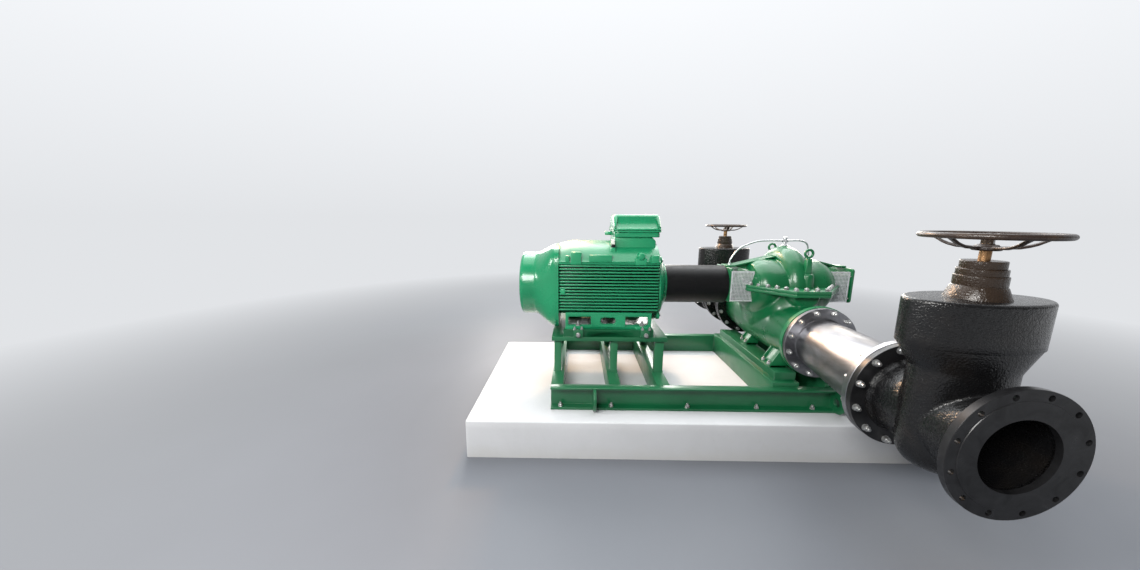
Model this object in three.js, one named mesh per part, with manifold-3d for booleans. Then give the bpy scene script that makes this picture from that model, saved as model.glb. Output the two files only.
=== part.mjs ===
// A horizontal split-case pump set: concrete plinth, green base frame, electric motor on its stand,
// coupling guard, double-suction pump, and a gate valve with a flanged spool on each side.
// Millimetres, +Z up. +X runs along the shaft from the motor to the pump, and -Y is the front.
// The origin is the centre of the plinth's underside.

import * as THREE from 'three';
import { mergeVertices } from 'three/addons/utils/BufferGeometryUtils.js';
import Module from 'manifold-3d';

const wasm = await Module();
wasm.setup();

// Driving dimensions

const SEAT = 0.3; // gap that a seated pair of pieces keeps
const BITE = 1; // how far joined forms reach into each other, and a cutter past what it cuts
const TINY = 1e-6; // a length that counts as none
const SHAFT_Z = 1165;
const MOTOR_X = -795;
const PUMP_X = 765; // line of the pump's nozzles and of both valves
const CASING_X = 16; // how far the casing's middle lies beyond that line
const ROUND = 24; // sides of a large round form
const SMALL_ROUND = 12; // sides of a small round form

const PLINTH = { length: 3730, width: 1732, height: 291, edge: 12 };
const RAIL = { halfLength: 1255, outerY: 689, webY: 615, web: 12, topFlange: 15, bottomFlange: 20 };
const FRAME_TOP = 470;
const LUG = { x: 917, thickness: 22, noseY: 700, noseRadius: 85, holeRadius: 32 };
const MOTOR_BEAMS = { left: [-1255, -1160], middle: [-800, -712], right: [-428, -330] };
const END_BEAM = [1160, 1255];
const BEARER = { top: 500, inner: 100, outer: 303, barOuter: 265, barHalfLength: 560 };

const STAND = { left: -1262, right: -310, halfWidth: 397, plateBottom: 745, plateTop: 780 };
const LEG = { outerY: 369, depth: 62, gussetReach: 250, gussetThickness: 14, gussetTip: 40 };
const LEGS = { left: [-1243, -1186], middle: [-773, -715], right: [-402, -332] };
const SOLE = { halfLength: 372, innerY: 285, outerY: 385, top: 838 };
const JACK = { places: [-1043, -498], halfWidth: 38, outerY: 413, bottom: 784, top: 846 };

const FRAME = {
  halfLength: 414, halfWidth: 345, coreWidth: 309, finTop: 210, finBottom: -179, bellyInset: 60,
  bellyDrop: 41, crown: 387, archFoot: 228, archSteps: 12,
};
const FIN = { count: 15, thickness: 9 };
const MOTOR_FOOT = {
  halfLength: 356, thickness: 34, outerY: 345, bottom: -327, top: -192, padX: 290, padHalf: 66,
  padOuterY: 363, padInnerY: 267, padHeight: 26,
};
const FOOT_WINDOW = { x: 234, z: -261, halfX: 98, halfZ: 36, corner: 10 };
const FOOT_SLOT = { z: -261, halfX: 62, halfZ: 28, corner: 27 };
const COWL = {
  length: 338, roundRadius: 277, square: 350, lip: 34, sections: 9, flareFrom: 0.35, flareTo: 0.95,
  squarePower: 3.2, lipDepth: 0.96,
};
const END_SHIELD = {
  length: 100, radius: 322, rim: 16, noseRadius: 185, noseStart: 78, noseDraft: 9, lugRadius: 34,
  lugCircle: 332, lugLength: 26, lugAngles: [45, 135, 225, 315],
};
const SHIELD_DISH = [[296, 42], [238, 66]]; // radius, distance from the housing
const BOX_BASE = { left: 52, right: 395, halfWidth: 200, bottom: 250, top: 424, chamfer: 30 };
const TERMINAL = {
  left: 36, right: 440, halfWidth: 235, corner: 40, inset: 14, splitZ: 480, lip: 14, top: 612,
  chamfer: 88, lidEdge: 30, shoulder: 54, bevel: 26, crown: 14,
};
const GLAND = { y: 70, z: 446, radius: 19, neckRadius: 17, nut: 26, length: 60, chamfer: 8 };

const SPLIT_FLANGE = { x: 30, thickness: 25, edgeY: 480, edgeHalf: 120, cornerX: 372, cornerY: 195 };
const VOLUTE = { radius: 343, halfWidth: 100, rimDepth: 90, rimSteps: 10 };
const SHOULDER = { x: 150, radiusX: 198, radiusY: 300, radiusZ: 236, power: 3.4, steps: 10, lowerDrop: 30 };
const LOWER_BODY = { z: -215, radiusX: 268, radiusY: 432, radiusZ: 318 };
const NOSE = { x: 4, z: -4, radius: 118, faceY: -400, rootY: -290 };
const NOZZLE = {
  z: -335, faceY: 617, radius: 215, rootRadius: 236, rootY: 300, collar: 60, bore: 150, boreDepth: 180,
};
const NOZZLE_FLANGE = { radius: 272.5, thickness: 36 };
const LOOSE_FLANGE = { radius: 300, thickness: 36 };
const ARM = {
  topZ: 176, ridgeZ: 270, ridgeX: 65, level: 70, halfWidth: 58, flange: 14, web: 22, webEnd: 40,
  webLow: 80, webFoot: 270, webHaunchX: 330, webHaunchZ: 136,
};
const BRACKET = {
  root: 250, end: 524, plate: 18, corner: 24, bottom: -134, housing: 98, housingLength: 140,
  armHalfWidth: 110, armThickness: 20, armDrop: -10, web: 22, webTop: -60, webLength: 120,
};
const BEARING_CAP = { drive: [120, -12, 0], outer: [112, -2, 34] };
const GUARD_SHEET = { y: 170, thickness: 2, inner: 306, outer: 500, bottom: -124, top: 140 };
const SHAFT = { radius: 32, insert: 40 };
const GUARD = { radius: 168, wall: 4 };
const PUMP_FOOT = { baseZ: -602, padHeight: 22, topZ: -420, lean: 96, recess: 14, rib: 12, ribDrop: 4 };
const PUMP_FEET = [
  { x: 262, y: -400, width: 148, depth: 130 },
  { x: 205, y: 140, width: 132, depth: 100 },
];
const CROWN = { radius: 38, height: 3, depth: 20 };
const FRONT_EYE = { x: 60, y: -287, bossTop: 258, bossTopRadius: 24, bossFootRadius: 44 };
const REAR_EYE = { x: 34, y: 238, bossTop: 270, bossTopRadius: 26, bossFootRadius: 40 };
const EYE = { ring: 31, wire: 10, neck: 14, collar: 23, collarHeight: 6, bossFoot: 10 };
const FLUSH = { radius: 7, steps: 11, z: 390, armRadius: 12, armEnd: 26 };
const FLUSH_LEFT = [[-135, 390], [-218, 384], [-300, 359], [-381, 316], [-432, 256], [-455, 206]];
const FLUSH_RIGHT = [[89, 392], [160, 388], [204, 368], [225, 322]];
const FLUSH_RIGHT_END = 236;
const VENT = { base: 22, stem: 14, cap: 18, baseHeight: 10, capStart: 16, capEnd: 34 };

const FRONT_SPOOL = {
  pumpRadius: 185, valveRadius: 225, pumpFlange: 267.5, valveFlange: 300, thickness: 35, wall: 9,
};
const REAR_SPOOL = { radius: 190, hub: 212, taper: 40, flange: 300, thickness: 36, wall: 12 };
const FRONT_VALVE = {
  name: 'front', y: -1624, z: 785, half: 286, drumBottom: 394, drumTop: 613, neckRadius: 112,
  ringTop: 783, wheelRadius: 238, wheelZ: 895, openEnd: -1,
};
const REAR_VALVE = {
  name: 'rear', y: 1290, z: 830, half: 300, drumBottom: 341, drumTop: 560, neckRadius: 107,
  ringTop: 702, wheelRadius: 235, wheelZ: 829, openEnd: 1,
};
const VALVE = {
  flangeRadius: 300, flange: 36, neck: 208, neckFlare: 14, neckTaper: 30, bore: 170, wedge: 35,
  drumX: 306, drumY: 170, drumEdge: 6, columnX: 224, columnY: 151, cone: 112,
};
const SUMP = [[0.5, -262], [0.82, -240], [0.97, -180], [1, -110]]; // share of the column, height
const NECK_RINGS = [[0.83, 0.34], [0.8, 0.61], [0.75, 0.79], [0.68, 1]]; // share of radius, height
const BOLT_CIRCLE = { count: 12, radius: 272, hole: 14, sides: 8 };
const STEM = { radius: 20.5, clearance: 0.7, depth: 60 };
const WHEEL = {
  tube: 13.5, tubeSides: 8, hub: 50, hubDrop: 68, hubHeight: 27, spokes: 5, firstSpoke: 42.6,
  spokeWidth: 24, spokeHeight: 13,
};
const SPOKE_LINE = [[0.45, -52], [0.68, -34], [0.86, -9], [1, 0]]; // share of the rim's radius, height

// Materials, one for each mesh

const PAINT = {
  concrete: { color: 0xcfcdc8, roughness: 0.92, metalness: 0 },
  frameGreen: { color: 0x1c6f42, roughness: 0.42, metalness: 0 },
  motorGreen: { color: 0x22a061, roughness: 0.35, metalness: 0 },
  pumpGreen: { color: 0x1e7a48, roughness: 0.34, metalness: 0 },
  castBlack: { color: 0x17171a, roughness: 0.38, metalness: 0.1 },
  guardBlack: { color: 0x141416, roughness: 0.55, metalness: 0 },
  brushedSteel: { color: 0xb9b7b6, roughness: 0.32, metalness: 1 },
  zinc: { color: 0xc9ccce, roughness: 0.4, metalness: 0.9 },
  wheelBrown: { color: 0x2a1f1b, roughness: 0.4, metalness: 0.2 },
};

// Geometry helpers

/** Turns a closed three.js geometry into a solid, with its faces pointing out. */
function solid(source) {
  const bare = source.clone();
  bare.deleteAttribute('normal');
  bare.deleteAttribute('uv');
  const merged = mergeVertices(bare, 1e-3);
  const index = merged.index.array;
  const triangles = [];
  for (let i = 0; i < index.length; i += 3) {
    const [a, b, c] = [index[i], index[i + 1], index[i + 2]];
    if (a !== b && b !== c && c !== a) {
      triangles.push(a, b, c);
    }
  }
  const position = merged.attributes.position;
  const corner = [new THREE.Vector3(), new THREE.Vector3(), new THREE.Vector3()];
  let volume = 0;
  for (let i = 0; i < triangles.length; i += 3) {
    corner.forEach((point, k) => point.fromBufferAttribute(position, triangles[i + k]));
    volume += corner[0].dot(corner[1].cross(corner[2]));
  }
  if (volume < 0) {
    for (let i = 0; i < triangles.length; i += 3) {
      [triangles[i], triangles[i + 1]] = [triangles[i + 1], triangles[i]];
    }
  }
  return new wasm.Manifold(new wasm.Mesh({
    numProp: 3,
    vertProperties: new Float32Array(position.array),
    triVerts: new Uint32Array(triangles),
  }));
}

/** Joins solids into one. */
function join(...solids) {
  return solids.reduce((whole, piece) => whole.add(piece));
}

/** Takes the later solids away from the first. */
function cut(body, ...tools) {
  return tools.reduce((rest, tool) => rest.subtract(tool), body);
}

/** The one largest body of what a cut has left. */
function largest(body) {
  return body.decompose().reduce((best, part) => (part.volume() > best.volume() ? part : best));
}

/** A solid grown by the seat gap along each axis, to cut its neighbour with. */
function grown(body) {
  const shifts = [[SEAT, 0, 0], [-SEAT, 0, 0], [0, SEAT, 0], [0, -SEAT, 0], [0, 0, SEAT], [0, 0, -SEAT]];
  return join(body, ...shifts.map((shift) => body.translate(shift)));
}

/** The span between two distances from a centre line, on one side of it. */
function mirrored(side, inner, outer) {
  return side < 0 ? [-outer, -inner] : [inner, outer];
}

function box([x0, x1], [y0, y1], [z0, z1]) {
  const geometry = new THREE.BoxGeometry(x1 - x0, y1 - y0, z1 - z0);
  geometry.translate((x0 + x1) / 2, (y0 + y1) / 2, (z0 + z1) / 2);
  return solid(geometry);
}

const AXES = {
  x: new THREE.Matrix4().makeBasis(
    new THREE.Vector3(0, 1, 0), new THREE.Vector3(0, 0, 1), new THREE.Vector3(1, 0, 0)),
  y: new THREE.Matrix4().makeBasis(
    new THREE.Vector3(1, 0, 0), new THREE.Vector3(0, 0, 1), new THREE.Vector3(0, -1, 0)),
  z: new THREE.Matrix4(),
};

/** Extrudes an outline between two planes of one axis. Its points are (y, z), (x, z) or (x, y). */
function prism(outline, axis, [low, high], curveSegments = 4) {
  const shape = outline instanceof THREE.Shape
    ? outline
    : new THREE.Shape(outline.map(([u, v]) => new THREE.Vector2(u, v)));
  const geometry = new THREE.ExtrudeGeometry(shape, {
    depth: high - low, bevelEnabled: false, curveSegments,
  });
  geometry.translate(0, 0, axis === 'y' ? -high : low);
  geometry.applyMatrix4(AXES[axis]);
  return solid(geometry);
}

/** Spins a closed profile of (radius, distance along the axis) about the x, y or z axis. */
function spin(profile, axis, segments = ROUND) {
  const points = profile.map(([radius, along]) => new THREE.Vector2(radius, along));
  const geometry = new THREE.LatheGeometry(points, segments);
  if (axis === 'x') {
    geometry.rotateZ(-Math.PI / 2);
  }
  if (axis === 'z') {
    geometry.rotateX(Math.PI / 2);
  }
  return solid(geometry);
}

function cylinder(radius, axis, [low, high], segments = ROUND) {
  return spin([[0, low], [radius, low], [radius, high], [0, high]], axis, segments);
}

function tube(outer, inner, axis, [low, high], segments = ROUND) {
  return spin([[inner, low], [outer, low], [outer, high], [inner, high], [inner, low]], axis, segments);
}

/** A barrel along x whose profile lies between an ellipse and a box, as its power grows past 2. */
function barrel({ radiusX, radiusY, radiusZ, power, steps }) {
  const points = [];
  for (let i = 0; i <= steps; i += 1) {
    const angle = -Math.PI / 2 + (Math.PI * i) / steps;
    const along = Math.sign(Math.sin(angle)) * Math.abs(Math.sin(angle)) ** (2 / power);
    points.push([i % steps ? radiusZ * Math.cos(angle) ** (2 / power) : 0, radiusX * along]);
  }
  return spin(points, 'x').scale([1, radiusY / radiusZ, 1]);
}

/** Stacks ovals of (radius along x, radius along y, height) into one closed form. */
function stackedOvals(ovals) {
  const last = ovals.length - 1;
  const geometry = new THREE.CylinderGeometry(1, 1, last, ROUND, last);
  geometry.rotateX(Math.PI / 2);
  geometry.translate(0, 0, last / 2);
  const position = geometry.attributes.position;
  for (let i = 0; i < position.count; i += 1) {
    const [radiusX, radiusY, height] = ovals[Math.round(position.getZ(i))];
    position.setXYZ(i, position.getX(i) * radiusX, position.getY(i) * radiusY, height);
  }
  return solid(geometry);
}

/** A rounded rectangle as a shape, centred on (cx, cy). */
function roundedRectangle(halfX, halfY, radius, cx = 0, cy = 0) {
  const shape = new THREE.Shape();
  shape.moveTo(cx - halfX + radius, cy - halfY);
  shape.lineTo(cx + halfX - radius, cy - halfY);
  shape.absarc(cx + halfX - radius, cy - halfY + radius, radius, -Math.PI / 2, 0);
  shape.lineTo(cx + halfX, cy + halfY - radius);
  shape.absarc(cx + halfX - radius, cy + halfY - radius, radius, 0, Math.PI / 2);
  shape.lineTo(cx - halfX + radius, cy + halfY);
  shape.absarc(cx - halfX + radius, cy + halfY - radius, radius, Math.PI / 2, Math.PI);
  shape.lineTo(cx - halfX, cy - halfY + radius);
  shape.absarc(cx - halfX + radius, cy - halfY + radius, radius, Math.PI, Math.PI * 1.5);
  return shape;
}

/** A round bar that follows a curve through points of (x, z), in the plane of the shaft. */
function bentBar(points, radius, steps) {
  const route = points.map(([x, z]) => new THREE.Vector3(x, 0, z));
  const section = new THREE.Shape();
  section.absarc(0, 0, radius, 0, Math.PI * 2);
  const geometry = new THREE.ExtrudeGeometry(section, {
    extrudePath: new THREE.CatmullRomCurve3(route, false, 'centripetal'),
    steps,
    curveSegments: 4,
    bevelEnabled: false,
  });
  return solid(geometry);
}

/** Places a finished solid in the scene graph as a named mesh with its own material. */
function place(group, name, body, paint) {
  const mesh = body.getMesh();
  const geometry = new THREE.BufferGeometry();
  geometry.setAttribute('position', new THREE.BufferAttribute(new Float32Array(mesh.vertProperties), 3));
  geometry.setIndex(new THREE.BufferAttribute(new Uint32Array(mesh.triVerts), 1));
  geometry.computeVertexNormals();
  const material = new THREE.MeshStandardMaterial({ ...PAINT[paint], flatShading: true });
  const piece = new THREE.Mesh(geometry, material);
  piece.name = name;
  group.add(piece);
}

// Plinth and base frame

/** The concrete block, with a chamfer round its top. */
function plinth() {
  const [halfX, halfY] = [PLINTH.length / 2, PLINTH.width / 2];
  const flat = roundedRectangle(halfX - PLINTH.edge, halfY - PLINTH.edge, BITE);
  const rim = new THREE.ExtrudeGeometry(flat, {
    depth: BITE, bevelThickness: PLINTH.edge, bevelSize: PLINTH.edge, bevelSegments: 1, curveSegments: 1,
  });
  rim.translate(0, 0, PLINTH.height - PLINTH.edge - BITE);
  const block = box([-halfX, halfX], [-halfY, halfY], [0, PLINTH.height - PLINTH.edge]);
  return join(block, solid(rim));
}

/** A rail with its flanges turned outward and its two lifting lugs; side is -1 front, 1 rear. */
function rail(side) {
  const bottom = PLINTH.height;
  const innerY = RAIL.webY + RAIL.web;
  const section = [
    [RAIL.webY, bottom], [RAIL.outerY, bottom], [RAIL.outerY, bottom + RAIL.bottomFlange],
    [innerY, bottom + RAIL.bottomFlange], [innerY, FRAME_TOP - RAIL.topFlange],
    [RAIL.outerY, FRAME_TOP - RAIL.topFlange], [RAIL.outerY, FRAME_TOP], [RAIL.webY, FRAME_TOP],
  ];
  const channel = prism(section.map(([y, z]) => [y * side, z]), 'x', [-RAIL.halfLength, RAIL.halfLength]);
  const noseZ = (bottom + FRAME_TOP) / 2;
  return [-LUG.x, LUG.x].reduce((whole, x) => {
    const [low, high] = [x - LUG.thickness / 2, x + LUG.thickness / 2];
    const centre = [0, side * LUG.noseY, noseZ];
    const nose = cylinder(LUG.noseRadius, 'x', [low, high], SMALL_ROUND).translate(centre);
    const plate = box(
      [low, high], mirrored(side, RAIL.webY, LUG.noseY), [noseZ - LUG.noseRadius, noseZ + LUG.noseRadius]);
    const hole = cylinder(LUG.holeRadius, 'x', [low - BITE, high + BITE], SMALL_ROUND).translate(centre);
    return cut(join(whole, nose, plate), hole);
  }, channel);
}

/** A closed box section between the webs of the two rails. */
function crossBeam(span, top = FRAME_TOP) {
  return box(span, [-RAIL.webY + SEAT, RAIL.webY - SEAT], [PLINTH.height, top]);
}

/** A deep cross beam with the bar on it that two of the pump's feet stand on; side is -1 or 1. */
function pumpBearer(side) {
  const beam = crossBeam(mirrored(side, BEARER.inner, BEARER.outer).map((x) => PUMP_X + x), BEARER.top);
  const bar = box(
    mirrored(side, BEARER.inner, BEARER.barOuter).map((x) => PUMP_X + x),
    [-BEARER.barHalfLength, BEARER.barHalfLength],
    [BEARER.top - BITE, SHAFT_Z + PUMP_FOOT.baseZ - SEAT]);
  return join(beam, bar);
}

// Motor stand

/** A leg of the motor stand: a post with a triangular gusset behind it. */
function standLeg([x0, x1], side) {
  const innerY = LEG.outerY - LEG.depth;
  const foot = FRAME_TOP - BITE;
  const post = box([x0, x1], mirrored(side, innerY, LEG.outerY), [foot, STAND.plateBottom]);
  const root = side * (innerY + BITE);
  const reach = side * (innerY - LEG.gussetReach);
  const middle = (x0 + x1) / 2;
  const gusset = prism(
    [
      [root, foot], [root, STAND.plateBottom], [reach, STAND.plateBottom],
      [reach, STAND.plateBottom - LEG.gussetTip],
    ],
    'x',
    [middle - LEG.gussetThickness / 2, middle + LEG.gussetThickness / 2]);
  return join(post, gusset);
}

/** A bar on the stand that carries one pair of motor feet, with its two jack-screw blocks. */
function soleBar(side) {
  const bar = box(
    [MOTOR_X - SOLE.halfLength, MOTOR_X + SOLE.halfLength], mirrored(side, SOLE.innerY, SOLE.outerY),
    [STAND.plateTop - BITE, SOLE.top - SEAT]);
  const jacks = JACK.places.map((x) => box(
    [x - JACK.halfWidth, x + JACK.halfWidth], mirrored(side, SOLE.outerY - BITE, JACK.outerY),
    [JACK.bottom, JACK.top]));
  return join(bar, ...jacks);
}

/** The stand's top plate with its two sole bars. */
function standTop() {
  const plate = box(
    [STAND.left, STAND.right], [-STAND.halfWidth, STAND.halfWidth],
    [STAND.plateBottom + SEAT, STAND.plateTop]);
  return join(plate, soleBar(-1), soleBar(1));
}

// Motor, in a frame on its shaft at the middle of its finned housing

/** One flank of the housing's section, from the lowest fin to the highest. */
function finFlank() {
  const pitch = (FRAME.finTop - FRAME.finBottom) / FIN.count;
  const half = FIN.thickness / 2;
  const points = [];
  for (let i = 0; i < FIN.count; i += 1) {
    const z = FRAME.finBottom + pitch * (i + 0.5);
    points.push([FRAME.coreWidth, z - half], [FRAME.halfWidth, z - half]);
    points.push([FRAME.halfWidth, z + half], [FRAME.coreWidth, z + half]);
  }
  return points;
}

/** The housing's back: an arc from one flank over its crown to the other. */
function housingArch() {
  const rise = FRAME.crown - FRAME.archFoot;
  const radius = (FRAME.halfWidth ** 2 + rise ** 2) / (2 * rise);
  const spread = Math.asin(FRAME.halfWidth / radius);
  return Array.from({ length: FRAME.archSteps + 1 }, (_, i) => {
    const angle = spread * (1 - (2 * i) / FRAME.archSteps);
    return [radius * Math.sin(angle), FRAME.crown - radius * (1 - Math.cos(angle))];
  });
}

/** The finned housing, with the pedestal of the terminal box on it. */
function motorFrame() {
  const bellyY = FRAME.coreWidth - FRAME.bellyInset;
  const bellyZ = FRAME.finBottom - FRAME.bellyDrop;
  const leftFlank = finFlank().map(([y, z]) => [-y, z]).reverse();
  const section = [...finFlank(), ...housingArch(), ...leftFlank, [-bellyY, bellyZ], [bellyY, bellyZ]];
  const housing = prism(section, 'x', [-FRAME.halfLength, FRAME.halfLength]);
  const { left, right, bottom, top, chamfer, halfWidth } = BOX_BASE;
  const pedestal = prism(
    [[left, bottom], [right, bottom], [right, top - chamfer], [right - chamfer, top], [left, top]],
    'y', [-halfWidth, halfWidth]);
  return join(housing, pedestal);
}

/** A cast foot along the underside of the housing, with two windows and a slot for a lifting bar. */
function motorFoot(side) {
  const shape = new THREE.Shape();
  shape.moveTo(-MOTOR_FOOT.halfLength, MOTOR_FOOT.bottom);
  shape.lineTo(MOTOR_FOOT.halfLength, MOTOR_FOOT.bottom);
  shape.lineTo(MOTOR_FOOT.halfLength, MOTOR_FOOT.top);
  shape.lineTo(-MOTOR_FOOT.halfLength, MOTOR_FOOT.top);
  [-FOOT_WINDOW.x, FOOT_WINDOW.x].forEach((x) => {
    shape.holes.push(
      roundedRectangle(FOOT_WINDOW.halfX, FOOT_WINDOW.halfZ, FOOT_WINDOW.corner, x, FOOT_WINDOW.z));
  });
  shape.holes.push(roundedRectangle(FOOT_SLOT.halfX, FOOT_SLOT.halfZ, FOOT_SLOT.corner, 0, FOOT_SLOT.z));
  const plateY = mirrored(side, MOTOR_FOOT.outerY - MOTOR_FOOT.thickness, MOTOR_FOOT.outerY);
  const padY = mirrored(side, MOTOR_FOOT.padInnerY, MOTOR_FOOT.padOuterY);
  const pads = [-MOTOR_FOOT.padX, MOTOR_FOOT.padX].map((x) => box(
    [x - MOTOR_FOOT.padHalf, x + MOTOR_FOOT.padHalf], padY,
    [MOTOR_FOOT.bottom, MOTOR_FOOT.bottom + MOTOR_FOOT.padHeight]));
  return join(prism(shape, 'y', plateY, 3), ...pads);
}

/** The fan cowl: round at its outer end, and flaring to the housing's rounded square. */
function fanCowl() {
  const start = -FRAME.halfLength - SEAT;
  const geometry = new THREE.CylinderGeometry(1, 1, COWL.length, ROUND, COWL.sections);
  geometry.rotateZ(-Math.PI / 2);
  geometry.translate(start - COWL.length / 2, 0, 0);
  const position = geometry.attributes.position;
  for (let i = 0; i < position.count; i += 1) {
    const along = (start - position.getX(i)) / COWL.length;
    const angle = Math.atan2(position.getZ(i), position.getY(i));
    const onAxis = Math.hypot(position.getY(i), position.getZ(i)) < TINY;
    const squareness = THREE.MathUtils.smoothstep(1 - along, COWL.flareFrom, COWL.flareTo);
    const power = 2 + COWL.squarePower * squareness;
    const spread = (Math.abs(Math.cos(angle)) ** power + Math.abs(Math.sin(angle)) ** power) ** (-1 / power);
    const size = THREE.MathUtils.lerp(COWL.roundRadius, COWL.square, squareness);
    const pastLip = Math.max(0, 1 - (1 - along) * (COWL.length / COWL.lip));
    const rounding = COWL.lip * (1 - Math.sqrt(1 - COWL.lipDepth * pastLip ** 2));
    const radius = onAxis ? 0 : size * spread - rounding;
    position.setY(i, Math.cos(angle) * radius);
    position.setZ(i, Math.sin(angle) * radius);
  }
  return solid(geometry);
}

/** The drive end's shield: a stepped dish with four corner lugs. */
function endShield() {
  const { length, radius, noseRadius, noseStart, noseDraft, rim } = END_SHIELD;
  const start = FRAME.halfLength + SEAT;
  const face = start + length - SEAT * 2;
  const dish = spin([
    [0, start], [radius, start], [radius, start + rim], ...SHIELD_DISH.map(([r, along]) => [r, start + along]),
    [noseRadius, start + noseStart], [noseRadius - noseDraft, face], [0, face],
  ], 'x');
  const lugs = END_SHIELD.lugAngles.map((degrees) => {
    const angle = THREE.MathUtils.degToRad(degrees);
    const lug = cylinder(END_SHIELD.lugRadius, 'x', [start, start + END_SHIELD.lugLength], SMALL_ROUND);
    return lug.translate([0, Math.cos(angle) * END_SHIELD.lugCircle, Math.sin(angle) * END_SHIELD.lugCircle]);
  });
  return join(dish, ...lugs);
}

/** The terminal box's plan, drawn in by an inset. */
function terminalPlan(inset) {
  return roundedRectangle(
    (TERMINAL.right - TERMINAL.left) / 2 - inset, TERMINAL.halfWidth - inset, TERMINAL.corner,
    (TERMINAL.left + TERMINAL.right) / 2);
}

function terminalBox() {
  const lipFoot = TERMINAL.splitZ - TERMINAL.lip;
  const tray = prism(terminalPlan(TERMINAL.inset), 'z', [BOX_BASE.top + SEAT, lipFoot]);
  const lip = prism(terminalPlan(0), 'z', [lipFoot, TERMINAL.splitZ]);
  return join(tray, lip);
}

/** The lid of the terminal box, with a broad chamfer along its front and rear. */
function terminalLid() {
  const low = TERMINAL.splitZ + SEAT;
  const half = TERMINAL.halfWidth;
  const slope = half - TERMINAL.chamfer;
  const rightSide = [
    [half, low], [half, low + TERMINAL.lidEdge], [half - TERMINAL.bevel, low + TERMINAL.shoulder],
    [slope, TERMINAL.top - TERMINAL.crown], [slope - TERMINAL.bevel, TERMINAL.top],
  ];
  const leftSide = rightSide.map(([y, z]) => [-y, z]).reverse();
  const ridge = prism([...rightSide, ...leftSide], 'x', [TERMINAL.left, TERMINAL.right]);
  return ridge.intersect(prism(terminalPlan(0), 'z', [low, TERMINAL.top]));
}

function cableGland() {
  const end = TERMINAL.left + TERMINAL.inset - SEAT;
  const start = end - GLAND.length;
  return spin([
    [0, start], [GLAND.neckRadius - GLAND.chamfer / 2, start], [GLAND.neckRadius, start + GLAND.chamfer],
    [GLAND.neckRadius, end - GLAND.nut], [GLAND.radius, end - GLAND.nut], [GLAND.radius, end], [0, end],
  ], 'x', SMALL_ROUND).translate([0, GLAND.y, GLAND.z]);
}

// Coupling, in a frame on the shaft

/** The face of the drive end's bearing bracket, which the guard reaches. */
const COUPLING_END = PUMP_X + CASING_X - BRACKET.end;
const COUPLING_START = MOTOR_X + FRAME.halfLength + END_SHIELD.length;

function couplingGuard() {
  return tube(
    GUARD.radius, GUARD.radius - GUARD.wall, 'x', [COUPLING_START + SEAT, COUPLING_END - SEAT]);
}

function pumpShaft() {
  return cylinder(SHAFT.radius, 'x', [COUPLING_START + SEAT, COUPLING_END + SHAFT.insert], SMALL_ROUND);
}

// Pump, in a frame on its shaft at the line of its nozzles

/** The bolted flange along which the casing is split, as an octagon. */
function splitFlange(span) {
  const quarter = [[SPLIT_FLANGE.edgeHalf, SPLIT_FLANGE.edgeY], [SPLIT_FLANGE.cornerX, SPLIT_FLANGE.cornerY]];
  const turned = [...quarter].reverse();
  const outline = [
    ...quarter.map(([x, y]) => [x, -y]), ...turned, ...quarter.map(([x, y]) => [-x, y]),
    ...turned.map(([x, y]) => [-x, -y]),
  ];
  return prism(outline, 'z', span).translate([SPLIT_FLANGE.x, 0, 0]);
}

/** The round-rimmed wheel of the volute. */
function volute() {
  const points = [[0, -VOLUTE.halfWidth]];
  for (let i = 0; i <= VOLUTE.rimSteps; i += 1) {
    const angle = -Math.PI / 2 + (Math.PI * i) / VOLUTE.rimSteps;
    points.push([
      VOLUTE.radius - VOLUTE.rimDepth * (1 - Math.cos(angle)), VOLUTE.halfWidth * Math.sin(angle)]);
  }
  points.push([0, VOLUTE.halfWidth]);
  return spin(points, 'x').translate([CASING_X, 0, 0]);
}

/** The two suction chambers beside the volute, with their height changed by a drop. */
function shoulders(drop = 0) {
  const chamber = barrel({ ...SHOULDER, radiusZ: SHOULDER.radiusZ + drop });
  return [-1, 1].map((side) => chamber.translate([CASING_X + side * SHOULDER.x, 0, 0]));
}

/** A sloping arm with a top flange, from the bearing bracket to the volute; side is -1 or 1. */
function arm(side) {
  const at = (x) => CASING_X + side * x;
  const knee = BRACKET.end - ARM.level;
  const topLine = [[at(BRACKET.end), ARM.topZ], [at(knee), ARM.topZ], [at(ARM.ridgeX), ARM.ridgeZ]];
  const lowLine = topLine.map(([x, z]) => [x, z - ARM.flange]).reverse();
  const flange = prism([...topLine, ...lowLine], 'y', [-ARM.halfWidth, ARM.halfWidth]);
  const web = prism([
    [at(BRACKET.end - ARM.webEnd), ARM.topZ - BITE], [at(knee), ARM.topZ - BITE],
    [at(ARM.ridgeX), ARM.ridgeZ - BITE], [at(ARM.ridgeX), ARM.webLow], [at(ARM.webFoot), ARM.webLow],
    [at(ARM.webHaunchX), ARM.webHaunchZ],
  ], 'y', [-ARM.web / 2, ARM.web / 2]);
  return join(flange, web);
}

function eyeBoss({ x, y, bossTop, bossTopRadius, bossFootRadius }) {
  const profile = [[0, EYE.bossFoot], [bossFootRadius, EYE.bossFoot], [bossTopRadius, bossTop], [0, bossTop]];
  return spin(profile, 'z', SMALL_ROUND).translate([x, y, 0]);
}

function upperCasing() {
  const reach = PLINTH.width;
  const above = box([-reach, reach], [-reach, reach], [SEAT / 2, reach]);
  const dome = join(volute(), ...shoulders()).intersect(above);
  const crown = cylinder(
    CROWN.radius, 'z', [VOLUTE.radius - CROWN.depth, VOLUTE.radius + CROWN.height], SMALL_ROUND)
    .translate([CASING_X, 0, 0]);
  return join(
    dome, splitFlange([SEAT / 2, SPLIT_FLANGE.thickness]), arm(-1), arm(1), crown,
    eyeBoss(FRONT_EYE), eyeBoss(REAR_EYE));
}

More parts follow.
